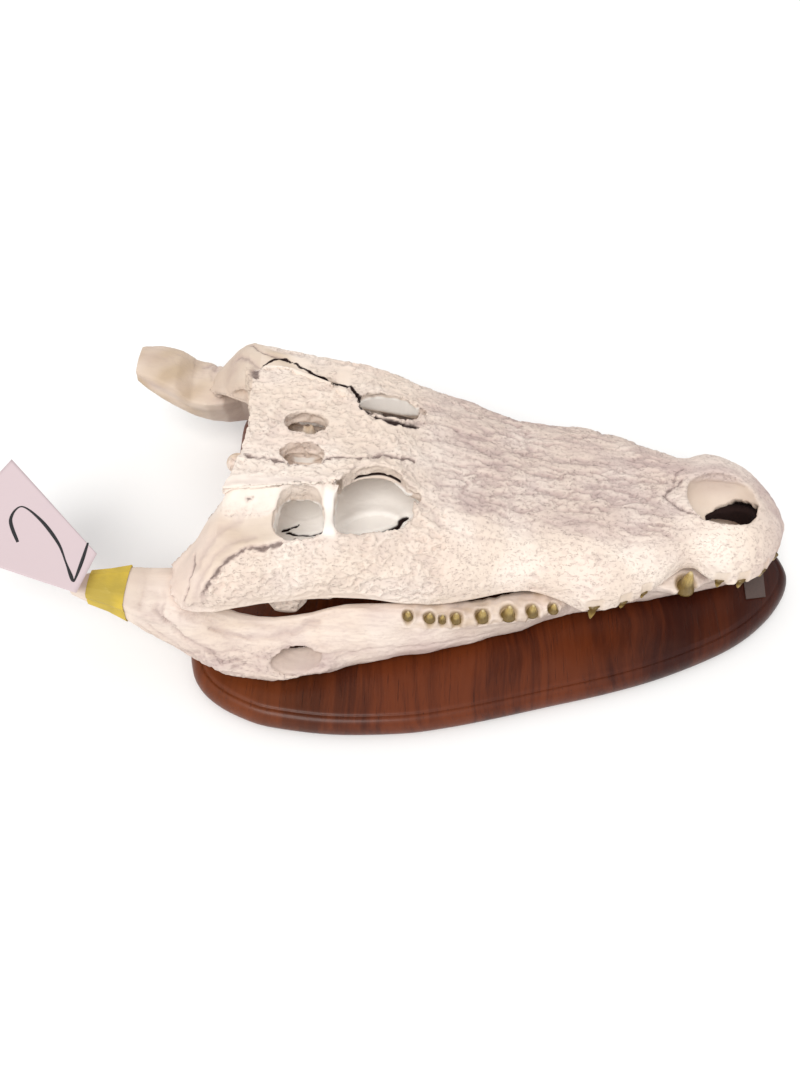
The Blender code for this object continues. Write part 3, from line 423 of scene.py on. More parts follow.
class ToothSettings(bpy.types.PropertyGroup):
    """Colours of the teeth"""

    crown: bpy.props.FloatVectorProperty(
        name="Crown", description="Colour of the crowns", default=(0.47, 0.33, 0.105), subtype="COLOR")
    gum: bpy.props.FloatVectorProperty(
        name="Neck", description="Colour at the gum", default=(0.19, 0.12, 0.030), subtype="COLOR")
    upper_fullness: bpy.props.FloatProperty(
        name="Upper fullness", description="Radius of an upper tooth against its named radius", default=1.15, min=0.8,
        max=2.0, subtype="FACTOR")
    lower_fullness: bpy.props.FloatProperty(
        name="Lower fullness", description="Radius of a lower tooth against its named radius", default=1.42, min=0.8,
        max=2.0, subtype="FACTOR")


class BoardSettings(bpy.types.PropertyGroup):
    """Colours and grain of the board"""

    light: bpy.props.FloatVectorProperty(
        name="Light grain", description="Colour of the light grain", default=(0.135, 0.027, 0.006), subtype="COLOR")
    dark: bpy.props.FloatVectorProperty(
        name="Dark grain", description="Colour of the dark grain", default=(0.036, 0.005, 0.0015), subtype="COLOR")
    grain_spacing: bpy.props.FloatProperty(
        name="Grain spacing", description="Distance between the streaks", default=0.006, min=0.001, unit="LENGTH",
        precision=4)


class PaperSettings(bpy.types.PropertyGroup):
    """Colours of the tag, its tape and the label"""

    paper: bpy.props.FloatVectorProperty(
        name="Paper", description="Colour of the tag", default=(0.66, 0.54, 0.56), subtype="COLOR")
    ink: bpy.props.FloatVectorProperty(
        name="Ink", description="Colour of the number", default=(0.012, 0.012, 0.014), subtype="COLOR")
    tape: bpy.props.FloatVectorProperty(
        name="Tape", description="Colour of the tape", default=(0.62, 0.44, 0.045), subtype="COLOR")
    label: bpy.props.FloatVectorProperty(
        name="Label", description="Colour of the bare label", default=(0.090, 0.062, 0.054), subtype="COLOR")
    line_width: bpy.props.FloatProperty(
        name="Stroke", description="Width of the number's stroke", default=0.0030, min=0.0005, unit="LENGTH",
        precision=4)


class StageSettings(bpy.types.PropertyGroup):
    """Floor and lights"""

    floor: bpy.props.FloatVectorProperty(
        name="Floor", description="Colour of the floor", default=(0.92, 0.92, 0.92), subtype="COLOR")
    key: bpy.props.FloatProperty(
        name="Key light", description="Strength of the broad light near the camera", default=1.8, min=0.0)
    sky: bpy.props.FloatProperty(
        name="Sky", description="Strength of the even light from all sides", default=0.74, min=0.0)


def ripple(points, size, seed):
    """Smooth even noise of about -1 to 1, with swells of the given size in metres."""
    draw = np.random.default_rng(seed)
    total = np.zeros(len(points))
    for _ in range(9):
        way = draw.normal(size=3)
        way *= 2 * math.pi / size * draw.uniform(0.6, 1.5) / np.linalg.norm(way)
        total += np.sin(points @ way + draw.uniform(0, 2 * math.pi))
    return total / 3.0


def sway(points, size, seed, by):
    """Smooth even noise in two directions, so that lines wander."""
    return np.stack([ripple(points, size, seed), ripple(points, size, seed + 1)], 1) * by


def from_line(plane, line):
    """Distance of points in a plane from a line of straight runs."""
    best = np.full(len(plane), FAR_OFF)
    for start, end in zip(line, line[1:]):
        start = np.array(start)
        run = np.array(end) - start
        t = np.clip(((plane - start) @ run) / (run @ run), 0, 1)
        best = np.minimum(best, np.hypot(*(plane - start - t[:, None] * run).T))
    return best


def smooth_line(corners, count=4, closed=True):
    """Smooth line through the corners, count points to each, back to the first or up to the last."""
    here = np.array(corners, float)
    if closed:
        before, after, beyond = (np.roll(here, step, axis=0) for step in (1, -1, -2))
    else:
        row, last = np.arange(len(here)), len(here) - 1
        before, after, beyond = (here[np.clip(row + step, 0, last)] for step in (-1, 1, 2))
    runs = [0.5 * (2 * here + (after - before) * t + (2 * before - 5 * here + 4 * after - beyond) * t * t
                   + (3 * here - before - 3 * after + beyond) * t ** 3) for t in np.arange(count) / count]
    line = np.stack(runs, 1).reshape(-1, 2)
    return line if closed else line[:1 - count]


def from_rim(plane, corners):
    """Distance of points in a plane from the smooth ring through corners, below 0 inside it."""
    ring = smooth_line(corners)
    low, high = ring.min(axis=0) - 0.06, ring.max(axis=0) + 0.06
    near = ((plane > low) & (plane < high)).all(axis=1)
    x, y = plane[near].T
    inside = np.zeros(len(x), bool)
    for (ax, ay), (bx, by) in zip(ring, np.roll(ring, -1, axis=0)):
        if ay != by:
            inside ^= ((ay > y) != (by > y)) & (x < ax + (y - ay) * (bx - ax) / (by - ay))
    distance = np.full(len(plane), FAR_OFF)
    distance[near] = from_line(plane[near], np.vstack([ring, ring[:1]])) * np.where(inside, -1, 1)
    return distance


def swell(value, low, high):
    """0 at low, 1 at high, smooth between."""
    t = np.clip((value - low) / (high - low), 0, 1)
    return t * t * (3 - 2 * t)


def hill(value, middle, width):
    """1 at the middle, falling away on both sides."""
    return np.exp(-((value - middle) / width) ** 2)


def between(value, low, full, fading, high):
    """1 from full to fading, 0 below low and above high, smooth between."""
    return swell(value, low, full) * (1 - swell(value, fading, high))


def highest(*masks):
    """The highest of the masks at each point, from 0 to 1."""
    return np.clip(np.maximum.reduce(masks), 0, 1)


def read(mesh, name):
    """A point attribute as an array."""
    data = mesh.attributes[name].data
    vector = mesh.attributes[name].data_type == "FLOAT_VECTOR"
    values = np.zeros(len(data) * (3 if vector else 1), np.float32)
    data.foreach_get("vector" if vector else "value", values)
    return values.reshape(-1, 3).astype(float) if vector else values


def write(mesh, name, values):
    """Stores an array as a point attribute."""
    vector = np.ndim(values) == 2
    found = mesh.attributes.get(name) or mesh.attributes.new(name, "FLOAT", "POINT")
    found.data.foreach_set("vector" if vector else "value", np.asarray(values, np.float32).ravel())
    mesh.update()


def mark(mesh, positions, marks):
    """Moves the points and stores the named marks."""
    write(mesh, "position", positions)
    for name, values in marks.items():
        write(mesh, name, values)


def merged_copy(nodes, name, teeth, up):
    """One mesh from the CAD bones, joined up, its plain teeth, which point up (1) or down (-1), pressed back."""
    bm = bmesh.new()
    for node in nodes:
        bm.from_mesh(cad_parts[node].data)
    bmesh.ops.remove_doubles(bm, verts=bm.verts, dist=0.00001)
    mesh = bpy.data.meshes.new(name)
    bm.to_mesh(mesh)
    bm.free()
    mesh.materials.clear()
    co = read(mesh, "position")
    for side in (1, -1):
        way = np.array([0.0, side * TOOTH_LEAN, up])
        way /= np.linalg.norm(way)
        for x, y, z, radius, length in teeth:
            rest = co - to_world((x, side * y, z))
            along = rest @ way
            off = np.linalg.norm(rest - along[:, None] * way, axis=1)
            reach = length * SKULL_LENGTH
            crown = (along > 0.3 * reach) & (along < 1.1 * reach) & (off < 0.95 * radius * SKULL_LENGTH)
            co[crown] -= (along[crown, None] + 0.1 * reach) * way
    write(mesh, "position", co)
    obj = bpy.data.objects.new(name, mesh)
    bpy.context.scene.collection.objects.link(obj)
    return obj


def evaluated(obj):
    """The object with its modifiers turned into a plain mesh."""
    mesh = bpy.data.meshes.new_from_object(obj.evaluated_get(bpy.context.evaluated_depsgraph_get()))
    obj.modifiers.clear()
    obj.data = mesh
    return mesh


def remesh(obj, voxel, rounds=6):
    """Even mesh over the joined bones, its facets smoothed."""
    modifier = obj.modifiers.new("Even mesh", "REMESH")
    modifier.mode = "VOXEL"
    modifier.voxel_size = voxel * 1.0
    modifier = obj.modifiers.new("Smooth", "SMOOTH")
    modifier.factor = 0.5
    modifier.iterations = rounds
    return evaluated(obj)


def normals_of(mesh):
    values = np.zeros(len(mesh.vertices) * 3, np.float32)
    mesh.vertices.foreach_get("normal", values)
    return values.reshape(-1, 3).astype(float)


def sockets(place, teeth, strength):
    """Offset in skull lengths and a mask for the rims and pits round the teeth."""
    offset, mask = np.zeros((2, len(place)))
    for side in (1, -1):
        for x, y, z, radius, _ in teeth:
            near = np.abs(place[:, 2] - z) < 0.032
            off = np.hypot(place[:, 0] - x, place[:, 1] - side * y) / radius
            offset += near * strength * (0.0018 * hill(off, 2.0, 0.42) - 0.0075 * (1 - swell(off, 1.05, 1.75)))
            mask = np.maximum(mask, near * (1 - swell(off, 1.25, 1.95)))
    return offset, mask


def soften(mesh, weight, rounds):
    """Evens out the surface where weight is 1."""
    ends = np.zeros(len(mesh.edges) * 2, np.int32)
    mesh.edges.foreach_get("vertices", ends)
    first, second = ends.reshape(-1, 2).T
    co = read(mesh, "position")
    count = np.bincount(ends, minlength=len(co))[:, None]
    for _ in range(rounds):
        total = np.stack([np.bincount(first, co[second, k], len(co)) + np.bincount(second, co[first, k], len(co))
                          for k in range(3)], 1)
        co += 0.6 * weight[:, None] * (total / count - co)
    write(mesh, "position", co)


def carve(lines, plane, height, mask, uneven=1.0):
    """How deep the lines cut, and a mark of painted shade that is 1 on the deep ones. A line may name its lowest and
    highest height.
    """
    total, seam_shade = np.zeros((2, len(plane)))
    for line, width, depth, *span in lines:
        cut = hill(from_line(plane, line), 0, width * uneven) * mask
        if span:
            cut *= (height > span[0]) & (height < span[1])
        total += depth * cut
        seam_shade = np.maximum(seam_shade, cut * min(1.0, depth / DEEP_SEAM))
    return total, seam_shade


def slope_beside_table(mesh):
    """Fills the step beside the skull table: a soft slope on the near side, a brow up to the crack on the far one."""
    co = read(mesh, "position")
    x, y, z = to_skull(co).T
    fade = between(x, -0.022, 0.0, 0.170, 0.190)
    for side, stations in ((1, TABLE_LEFT), (-1, TABLE_RIGHT)):
        far = side > 0
        edge = np.interp(x, *stations.T) - 0.012
        end = np.interp(x, *SKULL_LINES[0][0].T) if far else edge + 0.050
        share = np.clip((side * y - edge) / np.maximum(end - edge, 0.01), 0, 1)
        target = TABLE_TOP - (0.024 * share ** 2 if far else 0.036 * swell(share, 0, 1))
        band = (side * y > edge) & (share < 1) & (z > 0.252) & (x < 0.190) & (x > -0.02)
        z = np.where(band, np.maximum(z, z + fade * (target - z)), z)
    co[:, 2] = z * SKULL_LENGTH + ORIGIN[2]
    write(mesh, "position", co)


def model_skull(mesh):
    """Adds the seams, rims and smooth places of the upper skull, marks where the bone is rough, and marks painted
    shade in its grooves, gaps and turned-away patches and painted light inside its openings.
    """
    x, y, z = to_skull(read(mesh, "position")).T
    wide = np.abs(y)
    joins = np.maximum(hill(x, SNOUT_REAR, 0.012), hill(x, BROW_REAR, 0.010) * (z > ROOF_UNDERSIDE) * (wide < 0.08))
    table_edge = (x < BROW_REAR) * (z > 0.235) * between(wide, 0.098, 0.112, 0.160, 0.190)
    slope_beside_table(mesh)
    soften(mesh, np.maximum(joins, 0.7 * table_edge), 24)

    co = read(mesh, "position")
    normal = normals_of(mesh)
    up = normal[:, 2]
    place = to_skull(co)
    wander = sway(co, 0.022, 3, 0.0016)
    plan = place[:, :2] + wander + sway(co, 0.007, 5, 0.0011)
    x, y, z = place.T
    wide = np.abs(y)
    upper = swell(up, -0.05, 0.35)

    # Cracks and seams; the first two, and the line on the far ledge, are also painted dark, painted shade under the
    # overhanging edges
    uneven = ripple(co, 0.015, 31)
    cut, seam_shade = carve(SKULL_LINES, plan, z, upper, 1 + 0.35 * uneven)
    offset = 0.0010 * ripple(co, 0.045, 11) * upper - cut
    crack_shade = hill(from_line(plan, CRACK_SHADE_FOOT), 0, 0.0032 * (1 + 0.3 * uneven)) * (z > 0.240) * (z < 0.276)
    for line, width, _, _, high in SKULL_LINES[:2]:
        near_line = hill(from_line(plan, line), 0, 1.4 * width * (1 + 0.35 * uneven))
        near_line *= 0.25 + 0.37 * swell(x, 0.004, 0.026)
        crack_shade = np.maximum(crack_shade, near_line * (z > ROOF_EDGE) * (z < high))
    crack_shade *= up > -0.3

    # Openings, with painted shade in the gaps on the floor below them
    inside = np.zeros(len(co))
    for corners, lift, reach in RIMS:
        off = from_rim(place[:, :2] + 0.6 * wander, corners)
        # The upper wall of the left cheek opening is painted dark too, painted shade inside the opening
        if corners is LEFT_CHEEK_OPENING:
            crack_shade = np.maximum(crack_shade, (1 - swell(off, -0.003, 0.001)) * (z > 0.20) * (z < 0.29))
            off = np.where(z > 0.25, FAR_OFF, off)
        offset += lift * hill(off, 0.4 * reach, reach) * upper * (off > -0.002)
        walls = (1 - swell(off, 0.003, 0.006)) * (1 - swell(up, 0.10, 0.35)) * (z < ROOF_EDGE) * (x < 0.5)
        inside = np.maximum.reduce([inside, 1 - swell(off, -0.004, 0.001), walls])
    cut, rim_shade = carve(FLOOR_LINES, plan, z, upper)
    # Painted shade: a slit cut under the right brow's rim and painted dark, and the nose hole cut in and painted dark
    wall = (np.abs(up) < 0.75) * (x > 0.20) * (x < 0.275) * (y < -0.055) * (y > -0.10)
    slit = wall * hill(z, 0.258 + 0.0012 * ripple(co, 0.02, 33), 0.0028)
    hole = (1 - swell(from_rim(plan, NOSE_HOLE), -0.0015, 0.0025)) * (x > NOSE_REAR) * (z < FLOOR_TOP)
    offset -= cut + 0.0060 * slit + 0.030 * hole * upper
    from_knob = np.hypot((x - 0.109) / 0.013, (y - 0.032) / 0.010)
    in_table = (z < ROOF_UNDERSIDE) * (z > 0.20) * upper
    knob = (1 - swell(from_knob, 0.6, 1.4)) * in_table
    offset += 0.036 * knob * (1 + 0.10 * np.sin(x / 0.0022))
    # Painted shade: a dark crescent on the near side of the knob, under the table opening's near rim
    rim_shade = np.maximum(rim_shade, hill(from_knob, 1.75, 0.35) * in_table * (y < 0.030))

    # Smooth places behind the openings, the bar behind the eye, lips and sockets
    to_edge = np.interp(x, *CHEEK_REACH.T) - wide
    valley = (swell(0.100 - x, 0.0, 0.02) * swell(to_edge, -0.004, 0.010) * swell(wide, 0.125, 0.145)
              * (z < ROOF_UNDERSIDE) * upper)
    eye_bar = between(x, 0.146, 0.153, 0.170, 0.178) * between(wide, 0.114, 0.128, 0.196, 0.212) * upper
    offset -= 0.0034 * valley * swell(to_edge, 0.0, 0.03) + 0.0040 * eye_bar
    beside_table = (y < 0) * (1 - swell(x, 0.140, 0.165)) * between(wide, 0.100, 0.124, 0.145, 0.185) * upper
    lip = hill(up, 0, 0.45) * (z < 0.165) * (z > 0.075)
    offset += 0.0014 * lip * ripple(co * (1.0, 0.2, 0.2), 0.016, 21)
    socket_offset, socket_mask = sockets(place, UPPER_TEETH, 0.45)
    offset += socket_offset * (z < GUM_TOP)
    socket_mask *= z < GUM_TOP

    # Painted light: the floors seen through the openings and the openings' insides are painted near white, where light
    # falls into them; the near side of the bar behind the eye and the near ledge beside the table are painted lighter
    floor = swell(x, 0.02, 0.05) * (x < SNOUT_REAR) * (z < FLOOR_TOP) * (wide < 0.205) * upper
    outer = swell(up, -0.45, 0.0) * (1 - highest(
        inside, 0.95 * valley, eye_bar, socket_mask, 0.85 * beside_table, 0.9 * floor, rim_shade, slit, hole))
    long_zone = between(x, 0.26, 0.40, 0.74, 0.83) * swell(y, -0.150, -0.080)
    worm_zone = np.maximum((x < 0.33) * (z > 0.24), (z < 0.25) * (x < 0.36)) * (1 - long_zone)
    tan = valley * (0.36 + 0.20 * ripple(co, 0.03, 8)) * swell(x, -0.10, 0.03)
    notch = hill(x, 0.795, 0.035) * (z > 0.070) * (1 - swell(z, 0.088, 0.104)) * (wide > 0.110)
    # Painted shade: the top and far side of the snout and the hollow behind the table on the far side are painted
    # grey, turned from the light; the snout's tip and the near rear end are greyed too
    far_snout = swell(y, -0.02, 0.06) * swell(x, 0.30, 0.42)
    tip = 1.5 * swell(x + 0.10 * y, 0.88, 0.97)
    shoulder = swell(y, 0.02, 0.06) * (1 - swell(x, -0.02, 0.06)) * (1 - swell(z, 0.23, 0.27))
    near_end = 0.45 * (1 - swell(x, -0.06, 0.0)) * (y < 0)
    mark(mesh, co + normal * (offset * SKULL_LENGTH)[:, None], {
        "rough": outer, "wrinkles": outer * long_zone, "worms": outer * worm_zone, "streaks": 0.35 * valley,
        "seam_shade": seam_shade, "stain": highest(tan, 0.45 * (y > 0) * (x < 0.0), 0.9 * knob, 0.30 * inside * (x > NOSE_REAR)),
        "bleached_and_lit": highest(0.6 * eye_bar * (y < 0), floor, 0.15 * beside_table,
                            0.9 * inside * (z < 0.25) * (x < NOSE_REAR) * (1 - knob)),
        "gap_shade": highest(rim_shade, slit, hole, crack_shade), "socket": np.maximum(0.22 * socket_mask, 0.6 * notch),
        "grey_and_shade": np.maximum.reduce([long_zone, far_snout, tip, shoulder, near_end])})


def model_jaw(mesh, side):
    """Adds the seams and sockets of one half of the lower jaw and marks where the bone is rough."""
    co = read(mesh, "position")
    normal = normals_of(mesh)
    place = to_skull(co)
    x, y, z = place.T
    face = place[:, ::2] + sway(co, 0.022, 13, 0.0022)
    outer = swell(side * normal[:, 1], -0.1, 0.35)
    untaped = swell(x, -0.168, -0.148) if side < 0 else 1.0

    cut, seam_shade = carve(JAW_LINES, face, z, outer, 1 + 0.35 * ripple(co, 0.015, 34))
    window = np.hypot((x - JAW_WINDOW[0]) / JAW_WINDOW[2], (z - JAW_WINDOW[1]) / JAW_WINDOW[3])
    dished = hill(x, 0.04, 0.10) * hill(z, 0.108, 0.013) * outer
    offset = (0.0018 * ripple(co, 0.050, 15) + 0.0040 * hill(window, 1.35, 0.30)) * outer - cut - 0.0040 * dished

    socket_offset, socket_mask = sockets(place, LOWER_TEETH, 1.0)
    top = z > np.interp(x, *JAW_TOP.T)
    socket_mask *= top
    gum = between(x, 0.28, 0.33, 0.58, 0.60) * top
    offset += socket_offset * top + 0.0016 * gum * ripple(co * (1.0, 0.3, 0.3), 0.010, 22)

    angle = hill(x, 0.03, 0.13) * (1 - swell(z, 0.055, 0.085))
    rough = outer * untaped * (1 - socket_mask) * (1 - 0.8 * dished)
    grey = (1 - swell(x, -0.16, -0.06)) * (0.80 if side > 0 else 0.15)
    # Painted shade: the jaw is painted darker towards its underside and greyed at random above it; the side window is
    # painted darker inside too
    low = np.maximum(1 - swell(z, 0.035, 0.090), 0.45 + 0.25 * ripple(co * (0.4, 1.0, 1.0), 0.02, 36))
    none = np.zeros(len(co))
    mark(mesh, co + normal * (offset * untaped * SKULL_LENGTH)[:, None], {
        "rough": rough * np.clip(0.45 + 0.8 * angle, 0, 1), "wrinkles": rough * np.clip(0.10 + 0.75 * angle, 0, 1),
        "worms": none, "streaks": untaped * np.clip(0.45 + 0.55 * outer - socket_mask, 0, 1),
        "seam_shade": 0.62 * seam_shade * untaped,
        "stain": np.clip(np.maximum(grey, 0.35 * dished) * (0.85 + 0.3 * ripple(co, 0.03, 9)), 0, 1),
        "bleached_and_lit": none, "gap_shade": none, "grey_and_shade": np.maximum(np.clip(low + 0.5 * angle, 0, 1), window < 1.1),
        "socket": np.maximum(socket_mask, 0.35 * gum * (0.6 + 0.5 * ripple(co, 0.012, 35)))})


def relief_tree():
    """Geometry nodes that press bumps, wrinkles and streaks into bone, and keep how much painted shade each point gets
    in its pits, wrinkles and seams.
    """
    graph, asked = geometry_graph("Bone relief", RELIEF_INPUTS)
    rough, wrinkles, worms, streaks = (graph.stored(name) for name in ("rough", "wrinkles", "worms", "streaks"))
    place = graph.node("GeometryNodeInputPosition")
    bent = graph.bent(place, 90.0, 0.0060)
    close = 0.5 / asked("Bump Spacing")
    tilted = graph.stretched(bent, 0.60, 1.0, 1.0)
    patch = graph.noise(place, 30.0).step(0.34, 0.62)
    pit = graph.noise(tilted, close * 1.5, 2.0, 0.6).step(0.56, 0.34)
    stroke = graph.veins(tilted, close * 1.1, 0.060, 1.0) * graph.noise(bent, close * 1.4, 0.0).step(0.48, 0.58)
    bump = pit * 0.55 + stroke * (0.35 + 0.45 * patch)

    winding = graph.bent(graph.stretched(place, 0.8, 1.0, 1.0), 120.0, 0.0050)
    worm = (1.0 - abs(graph.noise(winding, close, 1.0) - 0.5).step(0.115, 0.015)) * (0.55 + 0.45 * patch)

    broad = 0.5 / asked("Wrinkle Spacing")
    long_way = graph.stretched(graph.bent(place, 48.0, 0.013), 0.20, 1.0, 1.0)
    groove = graph.veins(long_way, broad, 0.060)
    second = abs(graph.noise(long_way, broad * 1.9, 1.5) - 0.48).step(0.055, 0.0)
    third = graph.veins(graph.stretched(bent, 0.45, 1.0, 1.0), broad * 2.6, 0.05, 1.0)
    wrinkle = (groove + second * 0.7 + third * 0.4) * (0.6 + 0.4 * patch)
    streak = graph.veins(graph.stretched(graph.bent(place, 22.0, 0.010), 0.10, 1.0, 1.0), 240.0, 0.07)

    plain = rough * (1 - 0.75 * wrinkles) * (1 - 0.7 * worms)
    # Painted shade: darker in the pits, worms, wrinkles and streaks
    shade_and_speck = ((pit * 0.10 + stroke * (0.12 + 0.40 * patch)) * plain + worm * worms * 0.30
              + wrinkle * wrinkles * 0.95 + streak * streaks * 0.30).clamp()
    height = ((graph.noise(place, 62.0) - 0.5) * asked("Lump Height") * 2.0 * rough
              - bump * plain * asked("Bump Depth") - worm * worms * asked("Bump Depth") * 2.4
              - wrinkle * wrinkles * asked("Wrinkle Depth") - streak * streaks * 0.00030)
    kept = graph.kept(asked("Geometry"), "shade_and_speck", (shade_and_speck + graph.stored("seam_shade")).clamp())
    return graph.finish(graph.real(graph.pushed(kept, height)), asked("Material"))


def apply_tree(obj, tree, values):
    """Runs a geometry tree on the object with its inputs set by name, and keeps the plain mesh."""
    modifier = obj.modifiers.new(tree.name, "NODES")
    modifier.node_group = tree
    for item in tree.interface.items_tree:
        if item.in_out == "INPUT" and item.name in values:
            modifier[item.identifier] = values[item.name]
    return evaluated(obj)


def relieve(obj, finish):
    """Presses the fine relief into a bone."""
    bone = bpy.context.scene.bone
    values = {name: getattr(bone, name.lower().replace(" ", "_")) for name in RELIEF_INPUTS}
    tree = bpy.data.node_groups.get("Bone relief") or relief_tree()
    return apply_tree(obj, tree, {**values, "Material": finish})


@material("weathered_bone")
def bone_material(graph, place, scene):
    """Cream bone, with painted shade in its hollows, seams, gaps and turned-away patches and painted light inside its
    openings, stained where it is smooth.
    """
    bone = scene.bone
    stain, rough, gap_shade = (graph.attribute(name) for name in ("stain", "rough", "gap_shade"))
    patches = graph.noise(place, 16.0, 3.0).step(0.40, 0.66)
    warm = graph.noise(graph.stretched(place, 1.0, 1.6, 1.0), 9.0).step(0.50, 0.72)
    dull = graph.noise(graph.stretched(place, 0.5, 1.0, 1.0), 26.0).step(0.46, 0.70)
    long_way = graph.stretched(place, 0.6, 1.0, 1.0)
    scratch = graph.veins(graph.bent(long_way, 210.0, 0.0035), 170.0, 0.040, 2.0, 0.6) * rough
    scratch = scratch * graph.noise(place, 330.0, 1.0).step(0.50, 0.62)
    speck = graph.noise(long_way, 430.0, 2.0, 0.55).step(0.57, 0.70) * rough
    grain = graph.noise(graph.bent(place, 300.0, 0.002), 560.0, 3.0, 0.65)
    colour = graph.paint(
        bone.cream, (patches, bone.pale), (warm * 0.30, (0.88, 0.69, 0.60)),
        (dull * rough * 0.16, (0.60, 0.47, 0.43)),
        # Painted shade on the turned-away patches
        ((graph.attribute("grey_and_shade") * (0.30 + 0.40 * dull)).clamp(), bone.grey_and_shade), (stain * 0.85, bone.tan),
        # Painted light near white inside the openings; the scratches and specks are the bone's own
        (graph.attribute("bleached_and_lit") * 0.95, (1.0, 0.97, 0.93)), (scratch * 0.20 + speck * 0.16, bone.shade_and_speck),
        # Painted shade in the pits and wrinkles, then along the seams
        (graph.attribute("shade_and_speck") * 0.60, bone.shade_and_speck),
        (graph.attribute("seam_shade").step(0.45, 0.95) * 0.70, (0.10, 0.065, 0.055)),
        # Stain round the sockets, and near-black painted shade in the gaps, holes and cracks
        (graph.attribute("socket") * 0.80, (0.38, 0.24, 0.09)), (gap_shade.step(0.25, 0.65), (0.014, 0.004, 0.003)))
    height = grain * 0.30 - scratch * 0.45 - speck * 0.45
    return {"Base Color": colour, "Roughness": 0.56 + 0.16 * grain - 0.10 * stain + 0.3 * gap_shade,
            "Normal": graph.bump(height * (0.25 + 0.75 * rough), 0.0009), "Specular IOR Level": 0.3}


@material("tooth_enamel")
def tooth_material(graph, place, scene):
    """Olive-yellow enamel, dark at the gum, with fine lengthwise cracks."""
    tip = graph.attribute("tip")
    mottle = graph.noise(place, 260.0, 3.0)
    lines = graph.veins(graph.stretched(place, 1.0, 1.0, 0.15), 700.0, 0.06)
    colour = graph.paint(
        scene.tooth.gum, ((tip + 0.3 * (mottle - 0.5)).step(0.05, 0.62), scene.tooth.crown),
        (lines * 0.35, (0.12, 0.075, 0.02)), (tip.step(0.82, 1.0) * 0.5, (0.78, 0.66, 0.40)))
    return {"Base Color": colour, "Roughness": 0.28 + 0.2 * mottle, "Normal": graph.bump(mottle - lines, 0.0002),
            "Coat Weight": 0.25, "Coat Roughness": 0.2}


@material("varnished_board")
def wood_material(graph, place, scene):
    """Red-brown wood with its grain across the board, under varnish."""
    board = scene.board
    fine = 1.0 / board.grain_spacing
    bent = graph.bent(place, 7.0, 0.05)
    streak = graph.noise(graph.stretched(bent, 1.0, 0.05, 0.3), fine, 4.0, 0.6)
    broad = graph.noise(graph.stretched(bent, 1.0, 0.16, 0.5), fine * 0.11)
    pore = graph.noise(graph.stretched(place, 1.0, 0.035, 1.0), fine * 5.0, 2.0, 0.6).step(0.60, 0.74)
    along = graph.node("ShaderNodeSeparateXYZ", None, {0: place}, "X")
    colour = graph.paint(
        board.dark, ((streak * 0.55 + broad * 0.65).step(0.42, 0.78), board.light),
        (along.step(0.02, -0.14) * 0.45, (0.18, 0.045, 0.010)), (along.step(0.10, 0.38) * 0.62, (0.024, 0.003, 0.001)),
        (pore * 0.55, (0.020, 0.004, 0.002)))
    return {"Base Color": colour, "Roughness": 0.30 + 0.22 * graph.noise(place, 45.0, 4.0, 0.7),
            "Normal": graph.bump(0 - pore, 0.00015), "Coat Weight": 0.15, "Coat Roughness": 0.16,
            "Specular IOR Level": 0.2}


@material("tag_paper")
def paper_material(graph, place, scene):
    """Pale paper with faint creases."""
    fibre = graph.noise(place, 900.0, 3.0, 0.7)
    crease = graph.noise(graph.bent(place, 20.0, 0.02), 24.0)
    colour = graph.paint(scene.papers.paper, (crease.step(0.55, 0.8) * 0.25, (0.60, 0.50, 0.54)))
    return {"Base Color": colour, "Roughness": 0.72 + 0.15 * fibre,
            "Normal": graph.bump(fibre * 0.2 + crease, 0.0006), "Specular IOR Level": 0.25}


@material("black_ink")
def ink_material(graph, place, scene):
    """Black ink, thinner where the pen ran dry."""
    dry = graph.noise(place, 700.0)
    colour = graph.paint(scene.papers.ink, (dry.step(0.55, 0.75) * 0.5, (0.05, 0.05, 0.06)))
    return {"Base Color": colour, "Roughness": 0.45 + 0.2 * dry}


@material("yellow_tape")
def tape_material(graph, place, scene):
    """Crinkled yellow tape, with olive patches of painted shade and a painted highlight on the raised crinkles."""
    crinkle = graph.noise(graph.stretched(place, 0.5, 1.0, 1.0), 150.0, 3.0, 0.6)
    colour = graph.paint(
        scene.papers.tape, (graph.noise(place, 40.0).step(0.40, 0.70) * 0.6, (0.36, 0.27, 0.05)),
        (crinkle.step(0.60, 0.80) * 0.35, (0.80, 0.66, 0.22)))
    return {"Base Color": colour, "Roughness": 0.42 + 0.25 * crinkle, "Normal": graph.bump(crinkle, 0.0007)}


@material("bare_label")
def label_material(graph, place, scene):
    """The bare, worn label."""
    fibre = graph.noise(place, 800.0, 3.0)
    worn = graph.noise(place, 110.0, 3.0).step(0.45, 0.70)
    colour = graph.paint(scene.papers.label, (worn * 0.5, (0.09, 0.062, 0.055)))
    return {"Base Color": colour, "Roughness": 0.55 + 0.2 * fibre, "Normal": graph.bump(fibre, 0.0002)}


@material("pale_floor")
def floor_material(graph, place, scene):
    """The plain pale floor."""
    return {"Base Color": (*scene.stage.floor, 1.0), "Roughness": 0.9, "Specular IOR Level": 0.1}


def settle(obj, finish, slot, *nodes):
    """Gives a finished piece its material and its place on the part."""
    if obj.name not in bpy.context.scene.collection.objects:
        bpy.context.scene.collection.objects.link(obj)
    obj.data.materials.clear()
    obj.data.materials.append(finish)
    obj.data.shade_smooth()
    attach(obj, "root")
    if nodes:
        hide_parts(*nodes)


def finish_node(node, finish):
    """Gives a packed piece that stays as it is its material."""
    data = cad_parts[node].data
    data.materials.clear()
    data.materials.append(finish)


